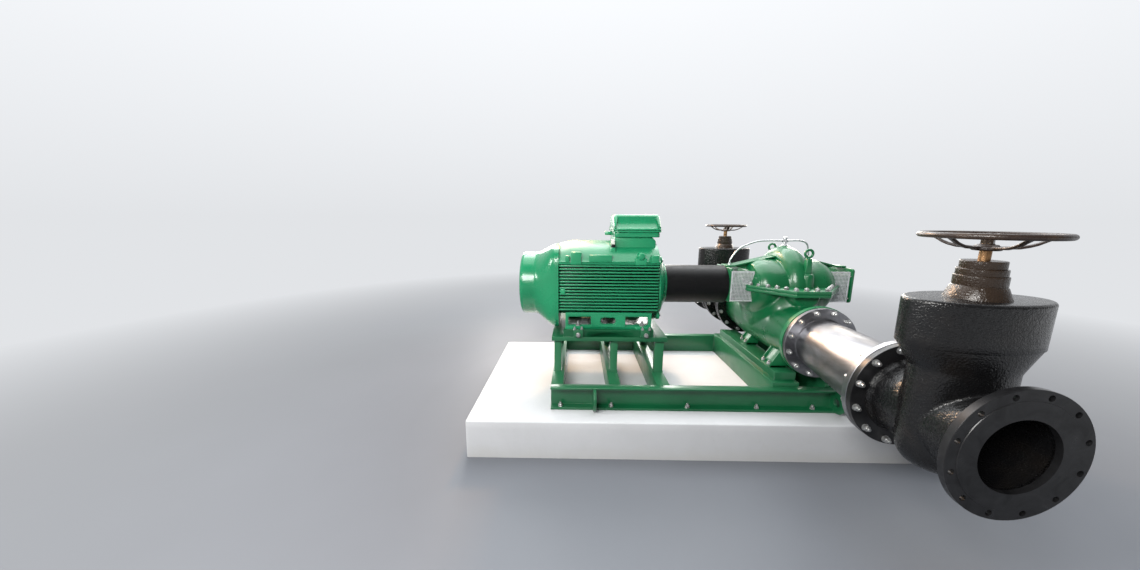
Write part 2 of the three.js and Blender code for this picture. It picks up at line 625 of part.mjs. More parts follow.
/** One leaning pump foot with a flat pad; its sides are raised ribs. */
function pumpFoot({ x, y, width, depth }, side) {
  const { baseZ, padHeight, topZ, lean, recess, rib, ribDrop } = PUMP_FOOT;
  const wedge = (inset, span) => prism([
    [side * (x - inset), baseZ + padHeight], [side * (x - inset - lean), topZ],
    [side * (x - lean - depth), topZ], [side * (x - depth), baseZ + BITE],
    [side * (x - inset), baseZ + BITE],
  ], 'y', span);
  const [low, high] = [y - width / 2, y + width / 2];
  const core = wedge(recess, [low + ribDrop, high - ribDrop]);
  const ribs = [wedge(0, [low, low + rib]), wedge(0, [high - rib, high])];
  const pad = box(mirrored(side, x - depth, x), [low, high], [baseZ, baseZ + padHeight]);
  return join(core, ...ribs, pad);
}

/** The lower casing: split flange, the round nose under it, two nozzles, a front flange and four feet. */
function lowerCasing() {
  const reach = PLINTH.width;
  const below = box([-reach, reach], [-reach, reach], [-reach, -SEAT / 2]);
  const { z, radiusX, radiusY, radiusZ } = LOWER_BODY;
  const belly = new THREE.SphereGeometry(1, ROUND, ROUND / 2);
  belly.rotateX(Math.PI / 2);
  belly.scale(radiusX, radiusY, radiusZ);
  belly.translate(0, 0, z);
  const { faceY, radius, rootRadius, rootY, collar } = NOZZLE;
  const neck = spin([
    [0, -faceY], [radius, -faceY], [radius, -faceY + collar], [rootRadius, -rootY], [rootRadius, rootY],
    [radius, faceY - collar], [radius, faceY], [0, faceY],
  ], 'y').translate([0, 0, NOZZLE.z]);
  const flange = cylinder(NOZZLE_FLANGE.radius, 'y', [-faceY, -faceY + NOZZLE_FLANGE.thickness])
    .translate([0, 0, NOZZLE.z]);
  const nose = cylinder(NOSE.radius, 'y', [NOSE.faceY, NOSE.rootY]).translate([NOSE.x, 0, NOSE.z]);
  const body = join(volute(), solid(belly), ...shoulders(SHOULDER.lowerDrop), neck, nose).intersect(below);
  const feet = PUMP_FEET.flatMap((foot) => [pumpFoot(foot, -1), pumpFoot(foot, 1)]);
  const bores = [-1, 1].map((side) => cylinder(
    NOZZLE.bore, 'y', mirrored(side, faceY - NOZZLE.boreDepth, faceY + BITE)).translate([0, 0, NOZZLE.z]));
  return cut(join(body, flange, splitFlange([-SPLIT_FLANGE.thickness, -SEAT / 2]), ...feet), ...bores);
}

/** The yoke that carries a bearing, with its shaft stub to the casing; side is -1 drive, 1 outer. */
function bearingBracket(side, casing) {
  const { root, end, plate, corner, bottom, armThickness, armDrop } = BRACKET;
  const [capRadius, capIn, capOut] = side < 0 ? BEARING_CAP.drive : BEARING_CAP.outer;
  const at = (x) => side * x;
  const face = end - BITE;
  const top = ARM.topZ - ARM.flange - SEAT;
  const plateHalfWidth = GUARD_SHEET.y - GUARD_SHEET.thickness - SEAT;
  const endPlate = prism(
    roundedRectangle(plateHalfWidth, (top - bottom) / 2, corner, 0, (top + bottom) / 2),
    'x', mirrored(side, end - plate, end));
  const housingSpan = mirrored(side, end - BRACKET.housingLength, face);
  const housing = cylinder(BRACKET.housing, 'x', housingSpan, SMALL_ROUND);
  const stub = cylinder(SHAFT.radius, 'x', mirrored(side, root, face), SMALL_ROUND);
  const lowerArm = prism([
    [at(face), bottom + BITE], [at(root), bottom - armDrop], [at(root), bottom - armDrop - armThickness],
    [at(face), bottom - BITE],
  ], 'y', [-BRACKET.armHalfWidth, BRACKET.armHalfWidth]);
  const web = prism([
    [at(face), BRACKET.webTop], [at(end - BRACKET.webLength), BRACKET.webTop],
    [at(root), bottom - armDrop - BITE], [at(face), bottom],
  ], 'y', [-BRACKET.web / 2, BRACKET.web / 2]);
  const cap = cylinder(capRadius, 'x', [side * end + capIn, side * end + capOut]);
  const yoke = join(endPlate, housing, stub, lowerArm, web, cap).translate([CASING_X, 0, 0]);
  const socket = cylinder(SHAFT.radius + SEAT, 'x', [
    CASING_X - end + BEARING_CAP.drive[1] - BITE, CASING_X - end + SHAFT.insert + SEAT], SMALL_ROUND);
  return largest(cut(yoke, side < 0 ? join(casing, socket) : casing));
}

/** A guard sheet beside a bearing bracket; side is -1 drive, 1 outer, and face -1 front, 1 rear. */
function guardSheet(side, face, casing) {
  const { y, thickness, inner, outer, bottom, top } = GUARD_SHEET;
  const sheet = box(mirrored(side, inner, outer), mirrored(face, y - thickness, y), [bottom, top]);
  return largest(cut(sheet, casing));
}

/** A lifting eye: an upright ring on a short neck. */
function liftingEye({ x, y, bossTop }) {
  const ring = solid(new THREE.TorusGeometry(EYE.ring, EYE.wire, 6, SMALL_ROUND));
  const upright = ring.rotate([90, 0, 0]).translate([0, 0, EYE.ring + EYE.neck]);
  const neck = cylinder(EYE.neck, 'z', [0, EYE.neck + BITE], SMALL_ROUND);
  const collar = cylinder(EYE.collar, 'z', [0, EYE.collarHeight], SMALL_ROUND);
  return join(upright, neck, collar).translate([x, y, bossTop + SEAT]);
}

/** The vent fitting on the crown, and the two flush tubes that run from it to the casing. */
function flushPiping(casing) {
  const base = VOLUTE.radius + CROWN.height + SEAT;
  const { z, armRadius, armEnd } = FLUSH;
  const stack = spin([
    [0, base], [VENT.base, base], [VENT.base, base + VENT.baseHeight], [VENT.stem, base + VENT.baseHeight],
    [VENT.stem, z + VENT.capStart], [VENT.cap, z + VENT.capStart], [VENT.cap, z + VENT.capEnd],
    [0, z + VENT.capEnd],
  ], 'z', SMALL_ROUND).translate([CASING_X, 0, 0]);
  const arms = cylinder(armRadius, 'x', [CASING_X - armEnd, CASING_X + armEnd], SMALL_ROUND)
    .translate([0, 0, z]);
  const [leftEndX] = FLUSH_LEFT[FLUSH_LEFT.length - 1];
  const left = [[CASING_X - armEnd + BITE, z], ...FLUSH_LEFT, [leftEndX, ARM.topZ + SEAT]];
  const right = [[CASING_X + armEnd - BITE, z], ...FLUSH_RIGHT, [FLUSH_RIGHT_END, ARM.topZ]];
  const tubes = [left, right].map((points) => bentBar(points, FLUSH.radius, FLUSH.steps));
  return largest(cut(join(stack, arms, ...tubes), casing));
}

function looseFlange() {
  const { radius, thickness } = LOOSE_FLANGE;
  return tube(radius, NOZZLE.radius + SEAT * 2, 'y', [NOZZLE.faceY - thickness, NOZZLE.faceY])
    .translate([0, 0, NOZZLE.z]);
}

// Spools

/** The front spool: an eccentric taper between two flanges. */
function frontSpool() {
  const { pumpRadius, valveRadius, wall, thickness } = FRONT_SPOOL;
  const start = -NOZZLE.faceY - SEAT;
  const end = FRONT_VALVE.y + FRONT_VALVE.half + SEAT;
  const length = start - end;
  const pumpZ = SHAFT_Z + NOZZLE.z;
  const slope = (pumpZ - FRONT_VALVE.z) / length;
  const shear = new THREE.Matrix4().set(1, 0, 0, 0, 0, 1, 0, 0, 0, slope, 1, 0, 0, 0, 0, 1);
  const taper = (thin, extra) => {
    const grow = ((valveRadius - pumpRadius) * extra) / length;
    const geometry = new THREE.CylinderGeometry(
      pumpRadius - thin - grow, valveRadius - thin + grow, length + extra * 2, ROUND);
    geometry.applyMatrix4(shear);
    geometry.translate(0, (start + end) / 2, (pumpZ + FRONT_VALVE.z) / 2);
    return solid(geometry);
  };
  const pumpFlange = cylinder(FRONT_SPOOL.pumpFlange, 'y', [start - thickness, start])
    .translate([0, 0, pumpZ]);
  const valveFlange = cylinder(FRONT_SPOOL.valveFlange, 'y', [end, end + thickness])
    .translate([0, 0, FRONT_VALVE.z]);
  return cut(join(taper(0, 0), pumpFlange, valveFlange), taper(wall, BITE));
}

/** The rear spool: a short flanged pipe between the pump and the rear valve. */
function rearSpool() {
  const start = NOZZLE.faceY + SEAT;
  const end = REAR_VALVE.y - REAR_VALVE.half - SEAT;
  const { radius, hub, taper, flange, thickness, wall } = REAR_SPOOL;
  return spin([
    [radius - wall, start], [flange, start], [flange, start + thickness], [hub, start + thickness],
    [radius, start + thickness + taper], [radius, end - thickness - taper], [hub, end - thickness],
    [flange, end - thickness], [flange, end], [radius - wall, end], [radius - wall, start],
  ], 'y').translate([0, 0, SHAFT_Z + NOZZLE.z]);
}

// Gate valves, each in a frame on its pipe axis below its stem

/** Round holes for the bolts of a valve flange, on both sides of its centre lines. */
function boltHoles(span) {
  const step = (Math.PI * 2) / BOLT_CIRCLE.count;
  return Array.from({ length: BOLT_CIRCLE.count }, (_, i) => {
    const angle = step * (i + 0.5);
    const centre = [Math.cos(angle) * BOLT_CIRCLE.radius, 0, Math.sin(angle) * BOLT_CIRCLE.radius];
    return cylinder(BOLT_CIRCLE.hole, 'y', span, BOLT_CIRCLE.sides).translate(centre);
  });
}

/** The oval body with its sump below, its cone above and a flanged neck at each end. */
function valveBody(valve) {
  const { flange, neck, neckFlare, neckTaper, flangeRadius, columnX, columnY } = VALVE;
  const coneFoot = valve.drumBottom - VALVE.cone;
  const drumSeat = valve.drumBottom - SEAT;
  const column = stackedOvals([
    ...SUMP.map(([share, z]) => [columnX * share, columnY * share, z]),
    [columnX, columnY, coneFoot], [VALVE.drumX - VALVE.drumEdge, VALVE.drumY - VALVE.drumEdge, drumSeat],
  ]);
  const inner = valve.half - flange;
  const run = spin([
    [0, -valve.half], [flangeRadius, -valve.half], [flangeRadius, -inner], [neck + neckFlare, -inner],
    [neck, -inner + neckTaper], [neck, inner - neckTaper], [neck + neckFlare, inner],
    [flangeRadius, inner], [flangeRadius, valve.half], [0, valve.half],
  ], 'y');
  const holes = boltHoles(mirrored(valve.openEnd, inner - BITE, valve.half + BITE));
  const bore = cylinder(VALVE.bore, 'y', [-valve.half - BITE, valve.half + BITE]);
  return cut(join(column, run), bore, ...holes);
}

/** The closed wedge across the bore. */
function valveWedge() {
  return cylinder(VALVE.bore - SEAT, 'y', [-VALVE.wedge, VALVE.wedge]);
}

/** The oval bonnet with its rounded edges. */
function valveBonnet({ drumBottom, drumTop }) {
  const rings = [
    [VALVE.drumEdge, drumBottom], [0, drumBottom + VALVE.drumEdge], [0, drumTop - VALVE.drumEdge * 2],
    [VALVE.drumEdge, drumTop - VALVE.drumEdge / 2], [VALVE.drumEdge * 2.5, drumTop],
  ];
  return stackedOvals(rings.map(([inset, z]) => [VALVE.drumX - inset, VALVE.drumY - inset, z]));
}

/** The neck on the bonnet with its stepped gland rings, bored for the stem. */
function valveNeck({ drumTop, neckRadius, ringTop }) {
  const base = drumTop + SEAT;
  const bore = STEM.radius + STEM.clearance;
  const floor = ringTop - STEM.depth - BITE;
  const at = (share) => base + (ringTop - base) * share;
  const rings = NECK_RINGS.flatMap(([share, height], i) => {
    const from = i ? NECK_RINGS[i - 1][1] : height;
    return [[neckRadius * share, at(from)], [neckRadius * share, at(height)]];
  });
  return spin(
    [[0, base], [neckRadius, base], ...rings.slice(1), [bore, ringTop], [bore, floor], [0, floor]], 'z');
}

function valveStem({ ringTop, wheelZ }) {
  return cylinder(STEM.radius, 'z', [ringTop - STEM.depth, wheelZ - WHEEL.hubDrop / 2], SMALL_ROUND);
}

/** The handwheel: a round rim, and curved spokes that rise to it from the hub. */
function handwheel({ wheelRadius, wheelZ }) {
  const rimRadius = wheelRadius - WHEEL.tube;
  const rim = solid(new THREE.TorusGeometry(rimRadius, WHEEL.tube, WHEEL.tubeSides, ROUND));
  const hubLow = wheelZ - WHEEL.hubDrop;
  const hubSpan = [hubLow, hubLow + WHEEL.hubHeight];
  const bore = STEM.radius + SEAT;
  const hub = cylinder(WHEEL.hub, 'z', hubSpan, SMALL_ROUND);
  const half = WHEEL.spokeHeight / 2;
  const root = [(bore + WHEEL.hub) / 2, hubLow + WHEEL.hubHeight / 2];
  const line = [root, ...SPOKE_LINE.map(([share, drop]) => [rimRadius * share, wheelZ + drop])];
  const underside = line.map(([x, z]) => [x, z - half]);
  const upside = line.map(([x, z]) => [x, z + half]).reverse();
  const spoke = prism([...underside, ...upside], 'y', [-WHEEL.spokeWidth / 2, WHEEL.spokeWidth / 2]);
  const spokes = Array.from({ length: WHEEL.spokes }, (_, i) => spoke.rotate(
    [0, 0, (360 / WHEEL.spokes) * i + WHEEL.firstSpoke]));
  const hole = cylinder(bore, 'z', [hubSpan[0] - BITE, hubSpan[1] + BITE], SMALL_ROUND);
  return cut(join(rim.translate([0, 0, wheelZ]), hub, ...spokes), hole);
}

// The assembly

function buildBase() {
  const group = new THREE.Group();
  place(group, 'concrete_plinth', plinth(), 'concrete');
  place(group, 'base_rail_front', rail(-1), 'frameGreen');
  place(group, 'base_rail_rear', rail(1), 'frameGreen');
  Object.entries(MOTOR_BEAMS).forEach(([name, span]) => {
    const frame = join(crossBeam(span), standLeg(LEGS[name], -1), standLeg(LEGS[name], 1));
    place(group, `motor_cross_frame_${name}`, frame, 'frameGreen');
  });
  place(group, 'motor_stand_top', standTop(), 'frameGreen');
  place(group, 'pump_bearer_left', pumpBearer(-1), 'frameGreen');
  place(group, 'pump_bearer_right', pumpBearer(1), 'frameGreen');
  place(group, 'end_beam_right', crossBeam(END_BEAM), 'frameGreen');
  return group;
}

function buildMotor() {
  const group = new THREE.Group();
  group.position.set(MOTOR_X, 0, SHAFT_Z);
  const feet = { front: motorFoot(-1), rear: motorFoot(1) };
  place(group, 'motor_frame', cut(motorFrame(), grown(feet.front), grown(feet.rear)), 'motorGreen');
  place(group, 'motor_foot_front', feet.front, 'motorGreen');
  place(group, 'motor_foot_rear', feet.rear, 'motorGreen');
  place(group, 'motor_fan_cowl', fanCowl(), 'motorGreen');
  place(group, 'motor_end_shield', endShield(), 'motorGreen');
  place(group, 'terminal_box', terminalBox(), 'motorGreen');
  place(group, 'terminal_box_lid', terminalLid(), 'motorGreen');
  place(group, 'cable_gland', cableGland(), 'castBlack');
  return group;
}

function buildCoupling() {
  const group = new THREE.Group();
  group.position.set(0, 0, SHAFT_Z);
  place(group, 'coupling_guard', couplingGuard(), 'guardBlack');
  place(group, 'pump_shaft', pumpShaft(), 'zinc');
  return group;
}

function buildPump() {
  const group = new THREE.Group();
  group.position.set(PUMP_X, 0, SHAFT_Z);
  const upper = upperCasing();
  const lower = lowerCasing();
  const casing = join(grown(upper), grown(lower));
  place(group, 'pump_casing_upper', upper, 'pumpGreen');
  place(group, 'pump_casing_lower', lower, 'pumpGreen');
  [['drive', -1], ['outer', 1]].forEach(([end, side]) => {
    place(group, `bearing_bracket_${end}`, bearingBracket(side, casing), 'pumpGreen');
    place(group, `guard_sheet_front_${end}`, guardSheet(side, -1, casing), 'zinc');
    place(group, `guard_sheet_rear_${end}`, guardSheet(side, 1, casing), 'zinc');
  });
  place(group, 'pump_nozzle_ring_rear', looseFlange(), 'castBlack');
  place(group, 'lifting_eye_front', liftingEye(FRONT_EYE), 'pumpGreen');
  place(group, 'lifting_eye_rear', liftingEye(REAR_EYE), 'pumpGreen');
  place(group, 'flush_piping', flushPiping(casing), 'zinc');
  return group;
}

function buildSpools() {
  const group = new THREE.Group();
  group.position.set(PUMP_X, 0, 0);
  place(group, 'front_spool', frontSpool(), 'brushedSteel');
  place(group, 'rear_spool', rearSpool(), 'castBlack');
  return group;
}

function buildValve(valve) {
  const group = new THREE.Group();
  group.position.set(PUMP_X, valve.y, valve.z);
  place(group, `${valve.name}_valve_body`, valveBody(valve), 'castBlack');
  place(group, `${valve.name}_valve_wedge`, valveWedge(), 'castBlack');
  place(group, `${valve.name}_valve_bonnet`, valveBonnet(valve), 'castBlack');
  place(group, `${valve.name}_valve_neck`, valveNeck(valve), 'castBlack');
  place(group, `${valve.name}_valve_stem`, valveStem(valve), 'zinc');
  place(group, `${valve.name}_handwheel`, handwheel(valve), 'wheelBrown');
  return group;
}

const pumpSet = new THREE.Group();
pumpSet.add(
  buildBase(), buildMotor(), buildCoupling(), buildPump(), buildSpools(), buildValve(FRONT_VALVE),
  buildValve(REAR_VALVE));

export default pumpSet;
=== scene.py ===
"""Dresses the split-case pump set: plinth, base frame, motor, pump, spools and gate valves.

Metres, +Z up. +X runs along the shaft from the motor to the pump, and -Y is the front.
"""

import math
import random

import bmesh
import bpy
from bpy.props import FloatProperty, FloatVectorProperty, IntProperty, PointerProperty
from bpy.types import Operator, Panel, PropertyGroup
from mathutils import Matrix, Vector, noise


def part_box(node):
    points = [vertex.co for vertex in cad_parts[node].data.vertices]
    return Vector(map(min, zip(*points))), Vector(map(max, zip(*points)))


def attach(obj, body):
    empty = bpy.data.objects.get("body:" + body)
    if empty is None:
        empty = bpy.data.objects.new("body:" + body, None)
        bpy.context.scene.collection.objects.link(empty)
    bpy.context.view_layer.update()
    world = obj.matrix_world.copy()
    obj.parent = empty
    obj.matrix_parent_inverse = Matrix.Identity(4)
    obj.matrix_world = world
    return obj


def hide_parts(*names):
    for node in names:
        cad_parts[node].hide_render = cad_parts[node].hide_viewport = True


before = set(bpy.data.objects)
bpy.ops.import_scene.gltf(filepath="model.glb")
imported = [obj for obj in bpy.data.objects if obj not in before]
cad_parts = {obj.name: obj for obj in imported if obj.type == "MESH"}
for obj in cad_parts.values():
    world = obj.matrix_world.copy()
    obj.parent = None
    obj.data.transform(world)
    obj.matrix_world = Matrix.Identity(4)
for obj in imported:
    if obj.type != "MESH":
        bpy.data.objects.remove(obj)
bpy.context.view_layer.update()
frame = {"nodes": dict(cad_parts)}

bl_info = {
    "name": "Split-case pump set",
    "version": (1, 0, 0),
    "blender": (4, 5, 0),
    "location": "View3D > Sidebar > Pump set",
    "description": "Models and finishes a split-case pump with its motor and gate valves",
    "category": "Object",
}

SET = "pump_set"
SIDES = (-1, 1)
FULL_TURN = 2 * math.pi
TOUCH = 1e-5  # vertices closer than this are one
OVERLAP = 0.001  # how far one shell of a piece reaches into the next


# Places taken from the frame


def middle(node):
    """The centre of a CAD node's box."""
    low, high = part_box(node)
    return (low + high) / 2


SHAFT_Z = middle("coupling_guard").z
MOTOR = Vector((middle("motor_frame").x, 0, SHAFT_Z))
PUMP = Vector((middle("pump_casing_upper").x, 0, SHAFT_Z))
NOZZLE = Vector((middle("front_spool").x, 0, middle("rear_spool").z))
FRAME_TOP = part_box("base_rail_front")[1].z
PLINTH_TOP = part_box("concrete_plinth")[1].z


# Camera, from the photograph's own perspective

CAMERA = {
    "place": (-1.063, -3.297, 1.750),
    "focal": 367.0,
    "width": 1140.0,
    "pitch": math.radians(10.43),
    "roll": 0.004,
    "yaw": math.radians(-1.0),
    "sensor": 36.0,
}


# Sizes of the cast and turned forms, in metres

VOLUTE = {"radius": 0.343, "half_width": 0.100, "rim_depth": 0.090}
SHOULDER = {"x": 0.150, "half_x": 0.198, "half_y": 0.300, "half_z": 0.236, "power": 3.4, "drop": 0.030}
RIB = {"x": 0.158, "width": 0.020, "raise": 0.007}
BELLY = {"z": -0.215, "half_x": 0.268, "half_y": 0.432, "half_z": 0.318}
NECK = {"radius": 0.215, "root": 0.236, "root_y": 0.300, "collar": 0.060, "bore": 0.150, "depth": 0.180}
NOSE = {"x": -0.012, "y": -0.405, "z": -0.004, "radius": 0.118, "edge": 0.016, "depth": 0.120, "tilt": 0.30}
FRONT_BOSS = {
    "top": 0.0190, "foot": 0.0300, "depth": 0.0230, "step": 0.138, "column": 0.047, "column_foot": 0.052,
}
REAR_BOSS = {"top": 0.030, "foot": 0.040, "depth": 0.028}
SPLIT = {"thickness": 0.025, "bolt_pitch": 0.074, "bolt_inset": 0.032, "seam": 0.0015}
ARM = {
    "top": 0.176, "ridge": 0.270, "ridge_x": 0.065, "knee": 0.454, "end": 0.524, "half_width": 0.058,
    "flange": 0.014, "web": 0.022, "web_low": 0.080, "web_foot": 0.270, "haunch_x": 0.330, "haunch_z": 0.136,
}
BRACKET = {
    "root": 0.250, "end": 0.524, "plate": 0.018, "corner": 0.024, "bottom": -0.134, "half_width": 0.167,
    "housing": 0.098, "housing_length": 0.140, "arm_half_width": 0.110, "arm_thickness": 0.020,
    "arm_drop": -0.010, "web": 0.022, "web_top": -0.060, "web_length": 0.120, "shaft": 0.032,
    "nose": 0.034,
}
SHEET = {"hole": 0.0062, "pitch": 0.0121, "thickness": 0.002}
EYE = {"ring": 0.031, "wire": 0.010, "neck": 0.014, "collar": 0.023, "collar_height": 0.006}
FLUSH = {"radius": 0.007, "z": 0.390, "arm_radius": 0.012, "arm_end": 0.026}
FLUSH_LEFT = (
    (-0.135, 0.390), (-0.218, 0.384), (-0.300, 0.359), (-0.381, 0.316), (-0.432, 0.256), (-0.455, 0.206))
FLUSH_RIGHT = ((0.089, 0.392), (0.160, 0.388), (0.204, 0.368), (0.225, 0.322))
FLUSH_ENDS = (-0.455, 0.236)
VALVE = {
    "flange": 0.300, "flange_depth": 0.036, "neck": 0.208, "flare": 0.014, "taper": 0.030, "bore": 0.170,
    "column_x": 0.224, "column_y": 0.151, "cone": 0.112,
    "bowl_z": -0.110, "bowl": 0.152, "wedge": 0.035, "stem": 0.0205,
}
GLAND_STEPS = ((0.83, 0.34), (0.80, 0.61), (0.75, 0.79), (0.68, 1.0))
BOLT_CIRCLE = {"count": 12, "radius": 0.272, "hole": 0.014}
WHEEL = {
    "tube": 0.0135, "hub": 0.050, "hub_drop": 0.068, "hub_height": 0.027, "spokes": 5,
    "first_spoke": math.radians(42.6), "spoke_half_width": 0.012, "spoke_half_height": 0.0065,
}
SPOKE_LINE = ((0.45, -0.052), (0.58, -0.044), (0.68, -0.034), (0.78, -0.019), (0.86, -0.009), (1.0, 0.0))


# Mesh helpers. Each returns a bmesh that holds one or more closed shells.


def closed(bm, centre=(0, 0, 0)):
    """Merges doubles, turns the faces outward and moves the shell to its place."""
    bmesh.ops.remove_doubles(bm, verts=bm.verts, dist=TOUCH)
    bmesh.ops.recalc_face_normals(bm, faces=bm.faces)
    bmesh.ops.translate(bm, vec=centre, verts=bm.verts)
    return bm


def on_axis(axis, u, v, along):
    """The point (u, v) of a plane across an axis, at a distance along it."""
    return {"x": (along, u, v), "y": (u, along, v), "z": (u, v, along)}[axis]


def turned(profile, axis="z", centre=(0, 0, 0), steps=72):
    """Spins a profile of (radius, distance along the axis); it ends on the axis or closes on itself."""
    bm = bmesh.new()
    looped = profile[0] == profile[-1]
    points = [
        bm.verts.new(on_axis(axis, radius, 0, along)) for radius, along in profile[: len(profile) - looped]]
    edges = [bm.edges.new(pair) for pair in zip(points, points[1:] + points[:1] * looped)]
    bmesh.ops.spin(
        bm, geom=points + edges, cent=(0, 0, 0), axis=on_axis(axis, 0, 0, 1), dvec=(0, 0, 0),
        angle=FULL_TURN, steps=steps, use_merge=True, use_normal_flip=False, use_duplicate=False)
    return closed(bm, centre)


def rod(radius, low, high, axis="z", centre=(0, 0, 0), steps=72):
    """A plain cylinder along an axis."""
    return turned(((0, low), (radius, low), (radius, high), (0, high)), axis, centre, steps)


def bevelled(bm, width, segments=2, over=30, edges=None):
    """Rounds the edges that turn by more than an angle in degrees, or the given ones."""
    limit = math.radians(over)
    chosen = edges if edges is not None else [
        e for e in bm.edges if len(e.link_faces) == 2 and e.calc_face_angle() > limit]
    bmesh.ops.bevel(
        bm, geom=chosen, offset=width, offset_type="OFFSET", segments=segments, profile=0.5,
        affect="EDGES", clamp_overlap=True, material=-1)
    return bm


def extruded(outline, axis, low, high, bevel=0.0, segments=2, centre=(0, 0, 0)):
    """A plate: an outline across an axis, drawn out between two distances along it."""
    bm = bmesh.new()
    face = bm.faces.new([bm.verts.new(on_axis(axis, u, v, low)) for u, v in outline])
    made = bmesh.ops.extrude_face_region(bm, geom=[face])["geom"]
    moved = [v for v in made if isinstance(v, bmesh.types.BMVert)]
    bmesh.ops.translate(bm, vec=on_axis(axis, 0, 0, high - low), verts=moved)
    closed(bm)
    if bevel:
        bevelled(bm, bevel, segments)
    bmesh.ops.translate(bm, vec=centre, verts=bm.verts)
    return bm


def block(low, high, bevel=0.002, segments=2):
    """A box between two corners, with its edges rounded."""
    low, high = Vector(low), Vector(high)
    bm = bmesh.new()
    shape = Matrix.Translation((low + high) / 2) @ Matrix.Diagonal((*(high - low), 1))
    bmesh.ops.create_cube(bm, size=1, matrix=shape)
    if bevel:
        bevelled(bm, bevel, segments)
    return bm


def rounded(half_u, half_v, radius, steps=6, centre=(0, 0)):
    """The outline of a rectangle with round corners."""
    points = []
    for corner, (su, sv) in enumerate(((1, -1), (1, 1), (-1, 1), (-1, -1))):
        for step in range(steps + 1):
            angle = math.pi / 2 * (corner - 1 + step / steps)
            points.append((
                centre[0] + su * (half_u - radius) + radius * math.cos(angle),
                centre[1] + sv * (half_v - radius) + radius * math.sin(angle)))
    return points


def lofted(rings, steps=72, tube=False):
    """A closed form through unit circles placed by matrices; a tube also joins its last ring to the first."""
    bm = bmesh.new()
    loops = []
    for place in rings:
        made = bmesh.ops.create_circle(bm, cap_ends=False, segments=steps, radius=1, matrix=place)["verts"]
        loops.append({e for v in made for e in v.link_edges})
    pairs = list(zip(loops, loops[1:] + loops[:1] * tube))
    for one, other in pairs:
        bmesh.ops.bridge_loops(bm, edges=list(one | other))
    if not tube:
        for loop in (loops[0], loops[-1]):
            bmesh.ops.contextual_create(bm, geom=list(loop))
    return closed(bm)


def oval(half_x, half_y, height, centre=(0, 0, 0)):
    """The place of one horizontal oval ring of a lofted form."""
    return Matrix.Translation(Vector(centre) + Vector((0, 0, height))) @ Matrix.Diagonal(
        (half_x, half_y, 1, 1))


def upright(radius, y, z, x):
    """The place of one ring across the Y axis."""
    return Matrix.Translation((x, y, z)) @ Matrix.Rotation(math.pi / 2, 4, "X") @ Matrix.Scale(radius, 4)


def moved(bm, matrix):
    """The shell carried to another place."""
    bmesh.ops.transform(bm, matrix=matrix, verts=bm.verts)
    if matrix.determinant() < 0:
        bmesh.ops.reverse_faces(bm, faces=bm.faces)
    return bm


def gathered(*shells):
    """All shells in one bmesh."""
    whole = bmesh.new()
    for shell in shells:
        mesh = bpy.data.meshes.new("shell")
        shell.to_mesh(mesh)
        shell.free()
        whole.from_mesh(mesh)
        bpy.data.meshes.remove(mesh)
    return whole


def repeated(shell, places):
    """Copies of one shell at each of many places."""
    mesh = bpy.data.meshes.new("pattern")
    shell.to_mesh(mesh)
    shell.free()
    whole = bmesh.new()
    for place in places:
        start = len(whole.verts)
        whole.from_mesh(mesh)
        whole.verts.ensure_lookup_table()
        bmesh.ops.transform(whole, matrix=place, verts=whole.verts[start:])
    bpy.data.meshes.remove(mesh)
    return whole


def shaped_by(bm, add_modifiers):
    """The mesh after modifiers that a function adds to a passing object."""
    mesh = bpy.data.meshes.new("work")
    bm.to_mesh(mesh)
    bm.free()
    passing = bpy.data.objects.new("work", mesh)
    bpy.context.scene.collection.objects.link(passing)
    add_modifiers(passing)
    evaluated = passing.evaluated_get(bpy.context.evaluated_depsgraph_get())
    result = bmesh.new()
    result.from_mesh(evaluated.to_mesh())
    evaluated.to_mesh_clear()
    bpy.data.objects.remove(passing)
    bpy.data.meshes.remove(mesh)
    return result


def fused(shells, voxel, rounds):
    """One cast form out of overlapping shells, smoothed so that its inner corners get fillets."""

    def union(passing):
        remesh = passing.modifiers.new("union", "REMESH")
        remesh.mode = "VOXEL"
        remesh.voxel_size = voxel
        smooth = passing.modifiers.new("fillet", "SMOOTH")
        smooth.factor = 0.5
        smooth.iterations = rounds

    return shaped_by(gathered(*shells), union)


def carved(body, *tools):
    """The first shell less the others."""
    mesh = bpy.data.meshes.new("tool")
    cutter = gathered(*tools)
    cutter.to_mesh(mesh)
    cutter.free()
    knife = bpy.data.objects.new("tool", mesh)
    bpy.context.scene.collection.objects.link(knife)

    def difference(passing):
        boolean = passing.modifiers.new("cut", "BOOLEAN")
        boolean.operation = "DIFFERENCE"
        boolean.solver = "EXACT"
        boolean.object = knife

    result = shaped_by(body, difference)
    bpy.data.objects.remove(knife)
    bpy.data.meshes.remove(mesh)
    return result


def halved(bm, height, keep_above):
    """What lies above or below a level, closed again by a flat face."""
    cut = bmesh.ops.bisect_plane(
        bm, geom=bm.verts[:] + bm.edges[:] + bm.faces[:], dist=TOUCH, plane_co=(0, 0, height),
        plane_no=(0, 0, 1),
        clear_inner=keep_above, clear_outer=not keep_above)["geom_cut"]
    rim = [e for e in cut if isinstance(e, bmesh.types.BMEdge)]
    bmesh.ops.contextual_create(bm, geom=rim)
    return bm


def softened(node, width, segments=2, over=25):
    """A CAD node's own form with its edges rounded."""
    bm = bmesh.new()
    bm.from_mesh(frame["nodes"][node].data)
    bmesh.ops.remove_doubles(bm, verts=bm.verts, dist=TOUCH)
    bmesh.ops.dissolve_limit(
        bm, angle_limit=math.radians(1), use_dissolve_boundaries=False, verts=bm.verts, edges=bm.edges)
    return bevelled(bm, width, segments, over)


